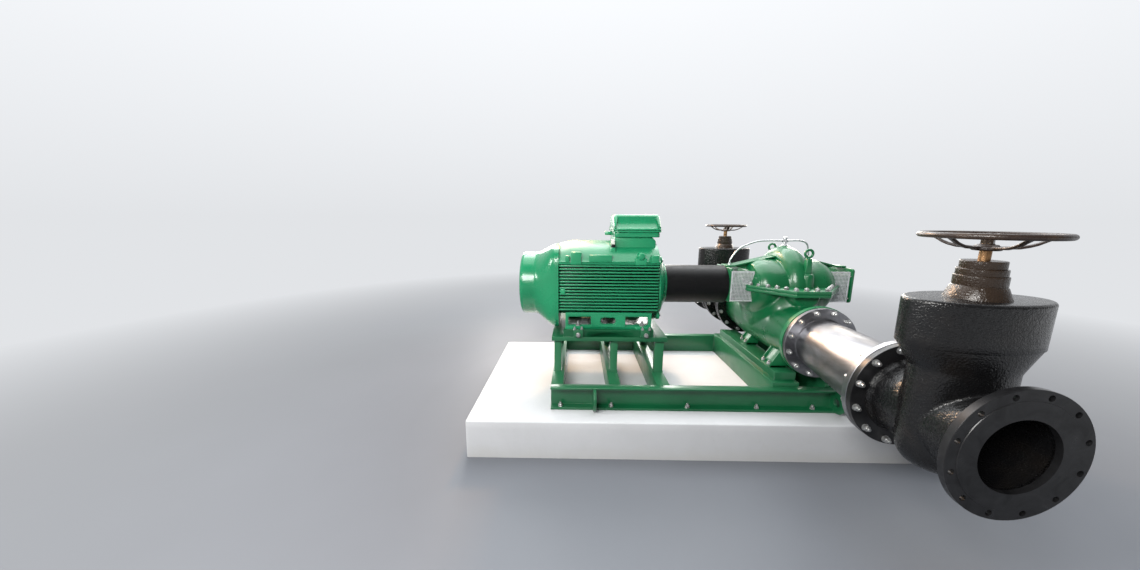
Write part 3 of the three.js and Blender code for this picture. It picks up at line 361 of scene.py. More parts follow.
def aimed(place, direction, turn=0.0):
    """The matrix that stands a fastener at a place, pointing along a direction."""
    heading = Vector(direction).to_track_quat("Z", "Y").to_matrix().to_4x4()
    return Matrix.Translation(place) @ heading @ Matrix.Rotation(turn, 4, "Z")


def made_piece(name, bm, finish, body=SET, slot=None, replaces=(), sharp=35.0):
    """Makes the object, shades it, ties it to its body and hides the nodes it replaces."""
    mesh = bpy.data.meshes.new(name)
    bm.to_mesh(mesh)
    bm.free()
    mesh.polygons.foreach_set("use_smooth", [True] * len(mesh.polygons))
    mesh.set_sharp_from_angle(angle=math.radians(sharp))
    mesh.materials.append(FINISHES[finish])
    piece = bpy.data.objects.new(name, mesh)
    bpy.context.scene.collection.objects.link(piece)
    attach(piece, body)
    slot = slot or FINISH_SLOTS.get(finish)
    if replaces:
        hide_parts(*replaces)


# Fasteners


def hexagon(width, height, base=0.0):
    """A hexagon across flats of a width, with its top edge chamfered."""
    bm = bmesh.new()
    radius = width / math.sqrt(3)
    shape = Matrix.Translation((0, 0, base + height / 2))
    bmesh.ops.create_cone(
        bm, cap_ends=True, cap_tris=False, segments=6, radius1=radius,
        radius2=radius, depth=height, matrix=shape)
    top = [e for e in bm.edges if all(v.co.z > base + height / 2 for v in e.verts)]
    return bevelled(bm, height * 0.14, 1, edges=top)


def nut(width, washer=True, stud=0.6):
    """A washer, a hexagonal nut and the end of its stud, standing on z = 0."""
    height = width * 0.52
    plate = width * 0.09
    parts = [hexagon(width, height, plate * washer)]
    if washer:
        parts.append(rod(width * 0.62, 0, plate, steps=16))
    if stud:
        top = plate * washer + height + width * 0.62 * stud
        radius = width * 0.31
        profile = (
            (0, height * 0.5), (radius, height * 0.5), (radius, top - radius * 0.25),
            (radius * 0.75, top), (0, top))
        parts.append(turned(profile, steps=10))
    return gathered(*parts)


def ring_of(count, radius, centre, direction, turns=None, skip=()):
    """Places round a circle across the Y axis, half a step off the centre lines."""
    places = []
    for i in range(count):
        if i in skip:
            continue
        angle = FULL_TURN * (i + 0.5) / count
        spin = turns.uniform(0, math.pi / 3) if turns else 0.0
        point = Vector(centre) + Vector((math.cos(angle) * radius, 0, math.sin(angle) * radius))
        places.append(aimed(point, (0, direction, 0), spin))
    return places


# Materials


class Finish:
    """A node material that is put together one node after another."""

    def __init__(self, name):
        self.material = bpy.data.materials.new(name)
        self.material.use_nodes = True
        self.nodes = self.material.node_tree.nodes
        self.links = self.material.node_tree.links
        self.nodes.clear()
        self.place = self.add("ShaderNodeTexCoord").outputs["Object"]

    def add(self, kind, settings=None, **inputs):
        """One node, with its settings, and its sockets linked or set."""
        node = self.nodes.new(kind)
        for key, value in (settings or {}).items():
            setattr(node, key, value)
        for key, value in inputs.items():
            socket = node.inputs[key.replace("_", " ")]
            if isinstance(value, bpy.types.NodeSocket):
                self.links.new(value, socket)
            else:
                socket.default_value = value
        return node

    def grain(self, scale, detail=3.0, roughness=0.55, vector=None, distortion=0.0):
        """Noise from 0 to 1, by default on the object's own coordinates."""
        node = self.add(
            "ShaderNodeTexNoise", Vector=vector or self.place, Scale=scale, Detail=detail,
            Roughness=roughness,
            Distortion=distortion)
        return node.outputs["Fac"]

    def stretched(self, x, y, z):
        """The object's coordinates, scaled along each axis."""
        return self.add("ShaderNodeMapping", Vector=self.place, Scale=(x, y, z)).outputs["Vector"]

    def levels(self, value, low, high, out_low=0.0, out_high=1.0):
        """A value carried from one range to another."""
        node = self.add(
            "ShaderNodeMapRange", Value=value, From_Min=low, From_Max=high, To_Min=out_low, To_Max=out_high)
        return node.outputs["Result"]

    def blend(self, share, one, other):
        """A colour between two, by a share."""
        node = self.add("ShaderNodeMix", {"data_type": "RGBA"})
        for key, value in ((0, share), (6, one), (7, other)):
            if isinstance(value, bpy.types.NodeSocket):
                self.links.new(value, node.inputs[key])
            elif key:
                node.inputs[key].default_value = (*value, 1.0)
            else:
                node.inputs[key].default_value = value
        return node.outputs[2]

    def two(self, operation, one, other):
        """A sum, product or other result of two values."""
        node = self.add("ShaderNodeMath", {"operation": operation})
        for socket, value in zip(node.inputs, (one, other)):
            if isinstance(value, bpy.types.NodeSocket):
                self.links.new(value, socket)
            else:
                socket.default_value = value
        return node.outputs[0]

    def relief(self, height, distance, strength=1.0, under=None):
        """A bump whose full height is a distance in metres."""
        inputs = {"Height": height, "Distance": distance, "Strength": strength}
        if under:
            inputs["Normal"] = under
        return self.add("ShaderNodeBump", **inputs).outputs["Normal"]

    def done(self, **inputs):
        """The material, with its shader joined to its output."""
        shader = self.add("ShaderNodeBsdfPrincipled", **inputs)
        self.add("ShaderNodeOutputMaterial", Surface=shader.outputs["BSDF"])
        return self.material


def enamel(name, colour, shade, cast, roughness=0.34, deep=None):
    """Glossy enamel on steel or a casting: cloudy tone, orange peel, cast grain, rubbed edges lightened
    partly as a painted highlight, and painted shade between fins.
    """
    f = Finish(name)
    cloud = f.levels(f.grain(2.6, 4.0), 0.35, 0.68)
    tone = f.blend(cloud, shade, colour)
    # Edges are lightened, partly as rubbed wear and partly as a painted highlight where edges catch the
    # light.
    lit_rubbed_edges = f.levels(f.add("ShaderNodeNewGeometry").outputs["Pointiness"], 0.52, 0.60, 0.0, 0.35)
    tone = f.blend(lit_rubbed_edges, tone, tuple(min(1.0, c * 1.7 + 0.03) for c in colour))
    specks = f.levels(f.grain(170.0, 2.0), 0.66, 0.72, 0.0, 0.35)
    tone = f.blend(specks, tone, tuple(c * 0.45 for c in shade))
    # Painted shade: between the fins the enamel darkens towards the core, where shade falls.
    if deep:
        core, face, low, high = deep
        axes = f.add("ShaderNodeSeparateXYZ", Vector=f.place).outputs
        inward = f.levels(f.two("ABSOLUTE", axes["Y"], 0.0), core, face, 0.93, 0.0)
        under = f.levels(axes["Z"], high - 0.006, high, 1.0, 0.0)
        above = f.levels(axes["Z"], low, low + 0.006)
        fin_gap_shade = f.two("MULTIPLY", inward, f.two("MULTIPLY", under, above))
        tone = f.blend(fin_gap_shade, tone, (0.0015, 0.0045, 0.003))
    gloss = f.levels(f.grain(9.0, 5.0), 0.3, 0.7, roughness - 0.07, roughness + 0.09)
    peel = f.relief(f.grain(130.0, 2.0), 0.0007, 0.4)
    lumps = f.relief(f.grain(30.0, 3.0), 0.002 * cast, 0.5, peel)
    return f.done(
        Base_Color=tone, Roughness=gloss, Normal=lumps, Coat_Weight=0.35, Coat_Roughness=0.14,
        Specular_IOR_Level=0.42)


def cast_black(name, colour, warm, pebble, low=0.24, high=0.42):
    """Black paint over rough iron: fine pebbles under a gloss, with a warm brown laid on at random as a
    painted reflection of warm light.
    """
    f = Finish(name)
    # Painted reflection: the warm tone stands in for the warm light reflected by the dark iron.
    tone = f.blend(f.levels(f.grain(5.0, 4.0), 0.50, 0.78, 0.0, 0.45), colour, warm)
    bumps = f.grain(125.0, 1.0, 0.5)
    coarse = f.grain(60.0, 1.0, 0.5)
    height = f.two("ADD", f.two("MULTIPLY", bumps, 0.7), f.two("MULTIPLY", coarse, 0.3))
    gloss = f.levels(f.grain(45.0, 3.0), 0.3, 0.7, low, high)
    return f.done(
        Base_Color=tone, Roughness=gloss, Normal=f.relief(height, pebble, 1.0), Specular_IOR_Level=0.42,
        Coat_Weight=0.1, Coat_Roughness=0.25)


def machined(name, centre):
    """A turned flange face: fine rings round its middle, its tone painted near black as the shade at the
    joint.
    """
    f = Finish(name)
    own = f.add("ShaderNodeMapping", Vector=f.place, Location=tuple(-c for c in centre)).outputs["Vector"]
    rings = f.add(
        "ShaderNodeTexWave", {"wave_type": "RINGS", "rings_direction": "Y"},
        Vector=own, Scale=70.0, Distortion=0.6,
        Detail=2.0).outputs["Fac"]
    face_mottle = f.grain(9.0, 5.0, 0.65, None, 1.2)
    # Painted shade: the face is kept near black, as it looks in the shade of the joint.
    tone = f.blend(f.levels(face_mottle, 0.35, 0.7), (0.010, 0.010, 0.011), (0.028, 0.028, 0.030))
    gloss = f.levels(face_mottle, 0.3, 0.7, 0.40, 0.26)
    return f.done(
        Base_Color=tone, Metallic=0.35, Roughness=gloss, Normal=f.relief(rings, 0.0003, 0.35))


def brushed_steel(name, colour, dark):
    """Rolled and brushed steel: cloudy blotches, fine lines along the pipe, and a few stains."""
    f = Finish(name)
    lines = f.grain(1.0, 3.0, 0.6, f.stretched(420.0, 6.0, 420.0))
    cloud = f.grain(3.4, 4.0, 0.55, f.stretched(1.0, 0.6, 1.0), 0.8)
    tone = f.blend(f.levels(cloud, 0.40, 0.62), dark, colour)
    tone = f.blend(f.levels(lines, 0.40, 0.75, 0.0, 0.30), tone, dark)
    stain = f.levels(f.grain(2.2, 3.0, 0.5), 0.58, 0.72, 0.0, 0.35)
    tone = f.blend(stain, tone, (0.30, 0.245, 0.19))
    gloss = f.levels(cloud, 0.38, 0.64, 0.46, 0.33)
    return f.done(
        Base_Color=tone, Metallic=1.0, Roughness=gloss, Normal=f.relief(lines, 0.0004, 0.2))


def zinc(name, colour, dark, scale=38.0, metal=0.85):
    """Bright galvanising with soft spangles."""
    f = Finish(name)
    spangle = f.add("ShaderNodeTexVoronoi", Vector=f.place, Scale=scale).outputs["Color"]
    grey = f.add("ShaderNodeSeparateColor", Color=spangle).outputs[0]
    tone = f.blend(f.levels(grey, 0.0, 1.0, 0.0, 0.5), colour, dark)
    gloss = f.levels(f.grain(22.0, 4.0), 0.3, 0.7, 0.26, 0.42)
    return f.done(
        Base_Color=tone, Metallic=metal, Roughness=gloss, Normal=f.relief(f.grain(160.0), 0.0003, 0.3))


def matt_black(name, colour):
    """Matt powder coat: fine grain, dust on it and a little sheen."""
    f = Finish(name)
    dust = f.levels(f.grain(7.0, 6.0, 0.7), 0.5, 0.8, 0.0, 0.2)
    tone = f.blend(dust, colour, tuple(c * 2.6 + 0.01 for c in colour))
    gloss = f.levels(f.grain(30.0, 4.0), 0.3, 0.7, 0.36, 0.5)
    return f.done(
        Base_Color=tone, Roughness=gloss, Normal=f.relief(f.grain(300.0, 2.0), 0.0004, 0.4),
        Specular_IOR_Level=0.22)


def concrete(name, pale, stain):
    """Painted concrete: trowel marks, stains, pores and a splash line near the floor."""
    f = Finish(name)
    cloud = f.levels(f.grain(1.7, 6.0, 0.62, None, 0.8), 0.35, 0.72)
    tone = f.blend(cloud, tuple(c * 0.93 for c in pale), pale)
    height = f.add("ShaderNodeSeparateXYZ", Vector=f.place).outputs["Z"]
    ragged = f.two("ADD", height, f.two("MULTIPLY", f.grain(6.0, 5.0, 0.7), -0.16))
    splash = f.levels(ragged, -0.09, 0.03, 0.75, 0.0)
    tone = f.blend(splash, tone, stain)
    marks = f.levels(f.grain(11.0, 7.0, 0.75, None, 1.5), 0.60, 0.74, 0.0, 0.5)
    tone = f.blend(marks, tone, stain)
    cells = f.add("ShaderNodeTexVoronoi", Vector=f.place, Scale=55.0).outputs["Distance"]
    pores = f.levels(cells, 0.03, 0.12, 1.0, 0.0)
    some = f.levels(f.grain(8.0, 2.0), 0.52, 0.6)
    pits = f.two("MULTIPLY", pores, some)
    tone = f.blend(f.two("MULTIPLY", pits, 0.6), tone, tuple(c * 0.45 for c in stain))
    trowel = f.relief(f.grain(3.5, 5.0, 0.6, f.stretched(1.0, 2.2, 1.0), 1.0), 0.006, 0.5)
    sand = f.relief(f.grain(140.0, 3.0, 0.7), 0.0012, 0.4, trowel)
    rough = f.relief(pits, -0.003, 0.8, sand)
    gloss = f.levels(cloud, 0.0, 1.0, 0.85, 0.62)
    return f.done(Base_Color=tone, Roughness=gloss, Normal=rough)


FLOOR_FADE = (2.5, 9.0)  # distance from the middle where the floor starts to melt away, and ends


def pale_floor(name, colour, studio):
    """The plain floor of the stage, which melts into the surround far from the pump set."""
    f = Finish(name)
    tone = f.blend(f.levels(f.grain(0.7, 4.0), 0.3, 0.7), tuple(c * 0.93 for c in colour), colour)
    near = f.add("ShaderNodeBsdfPrincipled", Base_Color=tone, Roughness=0.5, Specular_IOR_Level=0.35)
    far = f.add("ShaderNodeEmission", Color=(*studio.sky, 1.0), Strength=studio.horizon)
    distance = f.add("ShaderNodeVectorMath", {"operation": "LENGTH"}, Vector=f.place).outputs["Value"]
    share = f.levels(distance, *FLOOR_FADE)
    mixed = f.add("ShaderNodeMixShader", Fac=share)
    f.links.new(near.outputs["BSDF"], mixed.inputs[1])
    f.links.new(far.outputs["Emission"], mixed.inputs[2])
    f.add("ShaderNodeOutputMaterial", Surface=mixed.outputs["Shader"])
    return f.material


FINISHES = {}
FINISH_SLOTS = {  # the record's slot of each finish; the seals and the peg have none
    "motor": "motor_green", "housing": "motor_green", "pump": "pump_green", "frame": "frame_green",
    "black": "cast_black", "gland": "cast_black", "wheel": "wheel_brown", "steel": "brushed_steel",
    "stem": "zinc", "zinc": "zinc", "sheet": "zinc", "bolt": "zinc", "guard": "guard_black",
    "concrete": "concrete",
}


def make_finishes(paint, studio):
    """Makes every material once, from the colours of the paint settings."""
    body = MOTOR_BODY
    # Bounds of the painted shade between the housing's fins: core, fin edge, bottom, top.
    fins = (0.316, 0.342, SHAFT_Z + body["fin_bottom"] - 0.03, SHAFT_Z + body["fin_top"] + 0.004)
    FINISHES["motor"] = enamel("motor_enamel", paint.motor, paint.motor_shade, 0.35, 0.27)
    FINISHES["housing"] = enamel("housing_enamel", paint.motor, paint.motor_shade, 0.6, deep=fins)
    FINISHES["pump"] = enamel("pump_enamel", paint.pump, paint.pump_shade, 0.9, 0.32)
    FINISHES["frame"] = enamel("frame_enamel", paint.frame, paint.frame_shade, 0.2, 0.38)
    FINISHES["black"] = cast_black("cast_black", paint.black, paint.black_warm_reflection, 0.0036, 0.17, 0.32)
    FINISHES["gland"] = cast_black("gland_bronze", paint.gland, paint.gland_warm, 0.0034, 0.20, 0.36)
    FINISHES["wheel"] = cast_black("wheel_brown", paint.wheel, paint.gland_warm, 0.0012, 0.26, 0.42)
    FINISHES["steel"] = brushed_steel("brushed_steel", paint.steel, paint.steel_dark)
    FINISHES["stem"] = zinc("stem_bronze", paint.stem, paint.gland_warm, 90.0)
    FINISHES["zinc"] = zinc("zinc_plate", paint.zinc, paint.zinc_dark)
    FINISHES["sheet"] = zinc("sheet_zinc", paint.zinc, paint.zinc_dark, 60.0, 0.2)
    FINISHES["bolt"] = zinc("bolt_zinc", paint.bolt, paint.zinc_dark, 120.0)
    FINISHES["guard"] = matt_black("guard_black", paint.guard)
    FINISHES["rubber"] = matt_black("seal_black", (0.006, 0.006, 0.007))
    FINISHES["concrete"] = concrete("painted_concrete", paint.concrete, paint.stain)
    FINISHES["floor"] = pale_floor("stage_floor", paint.floor, studio)
    FINISHES["peg"] = matt_black("peg_white", (0.62, 0.62, 0.58))


# Plinth and base frame


def make_plinth():
    low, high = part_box("concrete_plinth")
    cells = 0.045
    bm = block(low, high, bevel=0)
    for axis in range(3):
        step = Vector([float(axis == k) for k in range(3)])
        for cut in range(1, int((high - low)[axis] / cells)):
            geometry = bm.verts[:] + bm.edges[:] + bm.faces[:]
            place = low + step * cells * cut
            bmesh.ops.bisect_plane(bm, geom=geometry, dist=TOUCH, plane_co=place, plane_no=step)
    edge = [e for e in bm.edges if e.calc_face_angle(0) > 1 and max(v.co.z for v in e.verts) > low.z + TOUCH]
    bevelled(bm, 0.010, 3, edges=edge)
    worn = 0.0016
    for v in bm.verts:
        if v.co.z > low.z + TOUCH:
            shift = noise.noise_vector(v.co * 7.0) * worn
            inward = Vector([-abs(s) if c > m else abs(s) for s, c, m in zip(shift, v.co, (low + high) / 2)])
            v.co += inward
    made_piece("plinth_block", bm, "concrete", replaces=["concrete_plinth"])


STEELWORK = {
    "base_rail_front": 0.003, "base_rail_rear": 0.003, "motor_cross_frame_left": 0.004,
    "motor_cross_frame_middle": 0.004, "motor_cross_frame_right": 0.004, "motor_stand_top": 0.003,
    "pump_bearer_left": 0.003, "pump_bearer_right": 0.003, "end_beam_right": 0.004,
}


SOLE_ARCH = {"half": 0.143, "foot": 0.7802, "rise": 0.034, "face": 0.385, "depth": 0.012}
LEGS = {  # left and right face of each pair of legs
    "left": (-1.243, -1.186), "middle": (-0.773, -0.715), "right": (-0.402, -0.332)}
LEG_SIDES = (0.307, 0.369)  # inner and outer face of each leg
RAIL_WEB = 0.6147
ANCHORS = {"x": (-1.180, -0.787, -0.200, 0.330, 0.755, 1.200), "y": 0.662, "flange": 0.020}


def weld_bead(start, end, size=0.006, ripple=0.012):
    """A rippled fillet weld along a straight corner."""
    start, end = Vector(start), Vector(end)
    length = (end - start).length
    count = max(2, int(length / ripple))
    bm = bmesh.new()
    bmesh.ops.create_cone(
        bm, cap_ends=True, cap_tris=False, segments=8, radius1=size, radius2=size, depth=length,
        matrix=Matrix.Translation((0, 0, length / 2)))
    sides = [e for e in bm.edges if abs(e.verts[0].co.z - e.verts[1].co.z) > TOUCH]
    bmesh.ops.subdivide_edges(bm, edges=sides, cuts=count * 2, use_grid_fill=True)
    for v in bm.verts:
        wave = 1 + 0.16 * math.sin(v.co.z / ripple * FULL_TURN)
        v.co.x *= wave
        v.co.y *= wave
    return moved(bm, aimed(start, end - start))


def arch_cutter(side):
    """The shallow arch in the foot of one sole bar."""
    a = SOLE_ARCH
    radius = (a["half"] ** 2 + a["rise"] ** 2) / (2 * a["rise"])
    spread = math.asin(a["half"] / radius)
    line = [(-a["half"], a["foot"] - 0.001), (a["half"], a["foot"] - 0.001)]
    for k in range(17):
        angle = spread * (1 - 2 * k / 16)
        line.append((radius * math.sin(angle), a["foot"] + a["rise"] - radius * (1 - math.cos(angle))))
    near, far = sorted((side * (a["face"] - a["depth"]), side * (a["face"] + 0.010)))
    return moved(extruded(line, "y", near, far), Matrix.Translation((MOTOR.x, 0, 0)))


def make_steelwork():
    for node, width in STEELWORK.items():
        form = softened(node, width)
        if node == "motor_stand_top":
            form = carved(form, *[arch_cutter(side) for side in SIDES])
        made_piece(f"{node}_steel", form, "frame", replaces=[node])
    beads = []
    inner, outer = LEG_SIDES
    for place, (left, right) in LEGS.items():
        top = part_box(f"motor_cross_frame_{place}")[1].z
        for side in SIDES:
            for y in LEG_SIDES:
                for z in (FRAME_TOP, top):
                    beads.append(weld_bead((left, side * y, z), (right, side * y, z)))
            for x in (left, right):
                beads.append(weld_bead((x, side * inner, FRAME_TOP), (x, side * outer, FRAME_TOP)))
    for node in ("pump_bearer_left", "pump_bearer_right", "end_beam_right"):
        for side in SIDES:
            for x in (corner.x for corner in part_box(node)):
                beads.append(
                    weld_bead((x, side * RAIL_WEB, PLINTH_TOP + 0.010), (x, side * RAIL_WEB, FRAME_TOP)))
    made_piece("frame_weld_beads", gathered(*beads), "frame")


def make_anchor_bolts(sizes):
    """The bolts that hold the rails down on the plinth."""
    spins = random.Random(11)
    places = [
        aimed((x, side * ANCHORS["y"], PLINTH_TOP + ANCHORS["flange"]), (0, 0, 1), spins.uniform(0, 1))
        for side in SIDES for x in ANCHORS["x"]]
    made_piece(
        "rail_anchor_bolts", repeated(nut(sizes.anchor, stud=0.8), places), "bolt")


# Motor


MOTOR_BODY = {
    "half_length": 0.414, "half_width": 0.345, "core": 0.309, "fin_top": 0.210, "fin_bottom": -0.179,
    "belly_inset": 0.060, "belly_drop": 0.041, "crown": 0.387, "arch_foot": 0.228, "fins": 15, "fin": 0.012,
    "arch_steps": 40, "slope_length": 0.100, "slope": 0.025, "ledge": (0.229, 0.236),
}
PEDESTAL = {
    "left": 0.052, "right": 0.395, "half_width": 0.200, "bottom": 0.250, "top": 0.424, "chamfer": 0.030}
MOTOR_TOP_BLOCKS = (  # left, right, bottom, top, face, from the motor's middle on its front
    (-0.359, -0.323, 0.226, 0.281, 0.349),
    (-0.312, -0.228, 0.208, 0.311, 0.353),
    (-0.164, 0.021, 0.230, 0.288, 0.348),
    (0.209, 0.299, 0.208, 0.262, 0.353),
    (0.337, 0.399, 0.222, 0.285, 0.350),
)
TERMINAL = {
    "left": 0.036, "right": 0.440, "half_width": 0.235, "split": 0.480, "lip": 0.014, "top": 0.612,
    "inset": 0.014, "bottom": 0.4243, "flange": 0.014, "set_back": 0.007,
}
LID_FRONT = ((0.228, 0.494), (0.226, 0.512), (0.152, 0.598), (0.128, 0.612))  # from the middle, height
SCOOP = {
    "low": (0.2275, 0.497), "high": (0.156, 0.594), "depth": 0.014,
    "left": 0.053, "right": 0.416, "taper": 0.024}
POCKET = {"radius": 0.025, "low": 0.494, "high": 0.512, "left": 0.040, "right": 0.430, "y": 0.224}


def arch_line(body):
    """The housing's back, an arc from the rear flank over its crown to the front one."""
    rise = body["crown"] - body["arch_foot"]
    radius = (body["half_width"] ** 2 + rise ** 2) / (2 * rise)
    spread = math.asin(body["half_width"] / radius)
    line = []
    for i in range(body["arch_steps"] + 1):
        angle = spread * (1 - 2 * i / body["arch_steps"])
        line.append((radius * math.sin(angle), body["crown"] - radius * (1 - math.cos(angle))))
    return line


def make_motor_housing():
    body = MOTOR_BODY
    half, core, width = body["half_length"], body["core"], body["half_width"]
    belly = core - body["belly_inset"]
    foot = body["fin_bottom"] - body["belly_drop"]
    top = body["fin_top"]
    low_ledge, high_ledge = body["ledge"]
    section = [
        (core, body["fin_bottom"]), (core, top - 0.010), (width - 0.004, top), (width - 0.004, low_ledge),
        (width, low_ledge + 0.002), (width, high_ledge - 0.002), (width - 0.006, high_ledge)]
    back = [point for point in arch_line(body) if abs(point[0]) < width - 0.012]
    mirrored = [(-y, z) for y, z in reversed(section)]
    skin = extruded(section + back + mirrored + [(-belly, foot), (belly, foot)], "x", -half, half)
    bmesh.ops.bisect_plane(
        skin, geom=skin.verts[:] + skin.edges[:] + skin.faces[:], dist=TOUCH,
        plane_co=(-half + body["slope_length"], 0, 0), plane_no=(1, 0, 0))
    for v in skin.verts:
        if v.co.x < -half + TOUCH and v.co.z > body["arch_foot"] + 0.010:
            v.co.z -= body["slope"] * (v.co.z - body["arch_foot"]) / (body["crown"] - body["arch_foot"])
    bevelled(skin, 0.0018, 2, over=40)
    parts = [skin]
    pitch = (top - body["fin_bottom"]) / body["fins"]
    root = core - 0.006
    end = half - 0.004
    for side in SIDES:
        for i in range(body["fins"]):
            z = body["fin_bottom"] + pitch * (i + 0.5)
            plan = [
                (-end, side * root), (-end, side * (width - 0.014)), (-end + 0.003, side * (width - 0.005)),
                (-end + 0.010, side * width), (end - 0.010, side * width),
                (end - 0.003, side * (width - 0.005)),
                (end, side * (width - 0.014)), (end, side * root)]
            thick = body["fin"] / 2
            parts.append(extruded(plan, "z", z - thick, z + thick, 0.0022, 2))
    for left, right, bottom, high, face in MOTOR_TOP_BLOCKS:
        for side in SIDES:
            near, far = sorted((side * 0.300, side * face))
            parts.append(block((left, near, bottom), (right, far, high), 0.005, 3))
    for side in SIDES:
        dome = ((0, 0.300), (0.030, 0.300), (0.030, 0.357), (0.026, 0.363), (0.016, 0.366), (0, 0.367))
        parts.append(moved(
            turned(dome, "y", steps=32),
            Matrix.Translation((0.255, 0, 0.279)) @ Matrix.Scale(side, 4, (0, 1, 0))))
        near, far = sorted((side * 0.300, side * 0.349))
        parts.append(block((-0.398, near, -0.038), (-0.358, far, 0.008), 0.003, 2))
        parts.append(turned(
            ((0, side * 0.349), (0.013, side * 0.349), (0.013, side * 0.352), (0, side * 0.352)), "y",
            (-0.378, 0, -0.015), 24))
    p = PEDESTAL
    corner = p["chamfer"]
    parts.append(extruded([
        (p["left"], p["bottom"]), (p["right"], p["bottom"]), (p["right"], p["top"] - corner),
        (p["right"] - corner, p["top"]), (p["left"], p["top"])],
        "y", -p["half_width"], p["half_width"], 0.005, 3))
    whole = moved(gathered(*parts), Matrix.Translation(MOTOR))
    made_piece("motor_housing", whole, "housing", replaces=["motor_frame"], sharp=30)


COWL = {"length": 0.338, "round": 0.277, "square": 0.350, "power": 3.2, "lip": 0.034}


def cowl_point(co, half_length):
    """Carries a point of a unit tube to the cowl's skin: round at its outer end, square at the housing."""
    length, round_radius, square, power = (COWL[key] for key in ("length", "round", "square", "power"))
    along = min(1.0, max(0.0, (-half_length - co.x) / length))
    radius = math.hypot(co.y, co.z)
    angle = math.atan2(co.z, co.y)
    share = min(1.0, max(0.0, (1 - along - 0.35) / 0.60))
    squareness = share * share * (3 - 2 * share)
    exponent = 2 + power * squareness
    spread = (abs(math.cos(angle)) ** exponent + abs(math.sin(angle)) ** exponent) ** (-1 / exponent)
    size = round_radius + (square - round_radius) * squareness
    reach = radius * size * spread
    return Vector((co.x, math.cos(angle) * reach, math.sin(angle) * reach))


def make_fan_cowl():
    half = MOTOR_BODY["half_length"] + 0.0003
    length, lip = COWL["length"], COWL["lip"]
    rows = 46
    skin = [(1.0, -half - length * i / rows * (1 - lip / length)) for i in range(rows + 1)]
    end = skin[-1][1]
    edge = [
        (1 - lip / COWL["round"] * (1 - math.cos(math.pi / 2 * k / 8)),
            end - lip * math.sin(math.pi / 2 * k / 8))
        for k in range(1, 9)]
    mouth = edge[-1][0] - 0.02
    inner = [(mouth, edge[-1][1]), (mouth - 0.004, end - lip * 0.4), (0.0, end - lip * 0.4)]
    profile = [(0.0, -half), (0.985, -half), *skin, *edge, *inner]
    bm = turned(profile, "x", steps=128)
    for v in bm.verts:
        v.co = cowl_point(v.co, half)
    ring_x = -half - length + 0.010
    bars = []
    for k in range(9):
        radius = 0.040 + 0.023 * k
        bars.append(turned([
            (radius + 0.0028 * math.cos(a), ring_x + 0.0028 * math.sin(a))
            for a in [FULL_TURN * s / 8 for s in range(8)] + [0]], "x", steps=72))
    for k in range(8):
        spoke = block((ring_x - 0.004, 0.030, -0.004), (ring_x + 0.004, 0.245, 0.004), 0.001, 1)
        bars.append(moved(spoke, Matrix.Rotation(FULL_TURN * k / 8, 4, "X")))
    bars.append(rod(0.042, ring_x - 0.006, ring_x + 0.006, "x"))
    whole = moved(bm, Matrix.Translation(MOTOR))
    made_piece(
        "fan_cowl_shell", whole, "motor", replaces=["motor_fan_cowl"], sharp=40)
    grille = moved(gathered(*bars), Matrix.Translation(MOTOR))
    made_piece("fan_grille", grille, "motor")
    screw = nut(0.014, stud=0)
    places = []
    for angle in (38, 142, 218, 322):
        direction = Vector((0, math.cos(math.radians(angle)), math.sin(math.radians(angle))))
        skin_point = cowl_point(Vector((-half - 0.022, *direction.yz)), half)
        places.append(aimed(MOTOR + skin_point - direction * 0.001, direction))
    made_piece("cowl_screws", repeated(screw, places), "motor")


def make_end_shield():
    start = MOTOR_BODY["half_length"] + 0.0003
    length, radius, nose = 0.0994, 0.322, 0.185
    profile = [
        (0, start), (radius, start), (radius, start + 0.014), (radius - 0.005, start + 0.018),
        (radius * 0.95, start + 0.030), (radius * 0.90, start + 0.042), (radius * 0.84, start + 0.054),
        (radius * 0.76, start + 0.064), (nose + 0.016, start + 0.072), (nose + 0.004, start + 0.078),
        (nose, start + 0.086), (nose, start + length - 0.006), (nose - 0.006, start + length),
        (0, start + length)]
    parts = [turned(profile, "x", steps=96)]
    bolts = []
    for degrees in (45, 135, 225, 315):
        angle = math.radians(degrees)
        centre = (0, math.cos(angle) * 0.332, math.sin(angle) * 0.332)
        lug = ((0, start), (0.034, start), (0.034, start + 0.023), (0.031, start + 0.026), (0, start + 0.026))
        parts.append(turned(lug, "x", centre, steps=24))
        bolts.append(aimed(MOTOR + Vector((start + 0.026, centre[1], centre[2])), (1, 0, 0)))
    rib = [(start + 0.010, 0.176), (start + 0.010, 0.300), (start + 0.034, 0.288), (start + 0.084, 0.186)]
    for k in range(8):
        turn = Matrix.Rotation(FULL_TURN * (k + 0.5) / 8, 4, "X")
        parts.append(moved(extruded(rib, "y", -0.007, 0.007, 0.002, 1), turn))
    whole = moved(gathered(*parts), Matrix.Translation(MOTOR))
    made_piece("end_shield_casting", whole, "motor", replaces=["motor_end_shield"])
    made_piece("end_shield_bolts", repeated(nut(0.022, stud=0), bolts), "bolt")


def lid_scoop(side):
    """What the hollow in one sloping face of the lid takes away."""
    c = SCOOP
    low, high = Vector(c["low"]), Vector(c["high"])
    chord = high - low
    out = Vector((chord.y, -chord.x)).normalized()
    radius = (chord.length ** 2 / 4 + c["depth"] ** 2) / (2 * c["depth"])
    centre = (low + high) / 2 + out * (radius - c["depth"])
    reach = math.asin(chord.length / 2 / radius)
    arc = []
    for k in range(17):
        angle = reach * (2 * k / 16 - 1)
        arc.append(centre - out * radius * math.cos(angle) + chord.normalized() * radius * math.sin(angle))
    outline = [(side * p.x, p.y) for p in (*arc, high + out * 0.05, low + out * 0.05)]
    tool = extruded(outline, "x", c["left"], c["right"])
    middle_x = (c["left"] + c["right"]) / 2
    for v in tool.verts:
        rise = (v.co.z - low.y) / (high.y - low.y)
        v.co.x += c["taper"] * rise * (1 if v.co.x < middle_x else -1)
    return tool


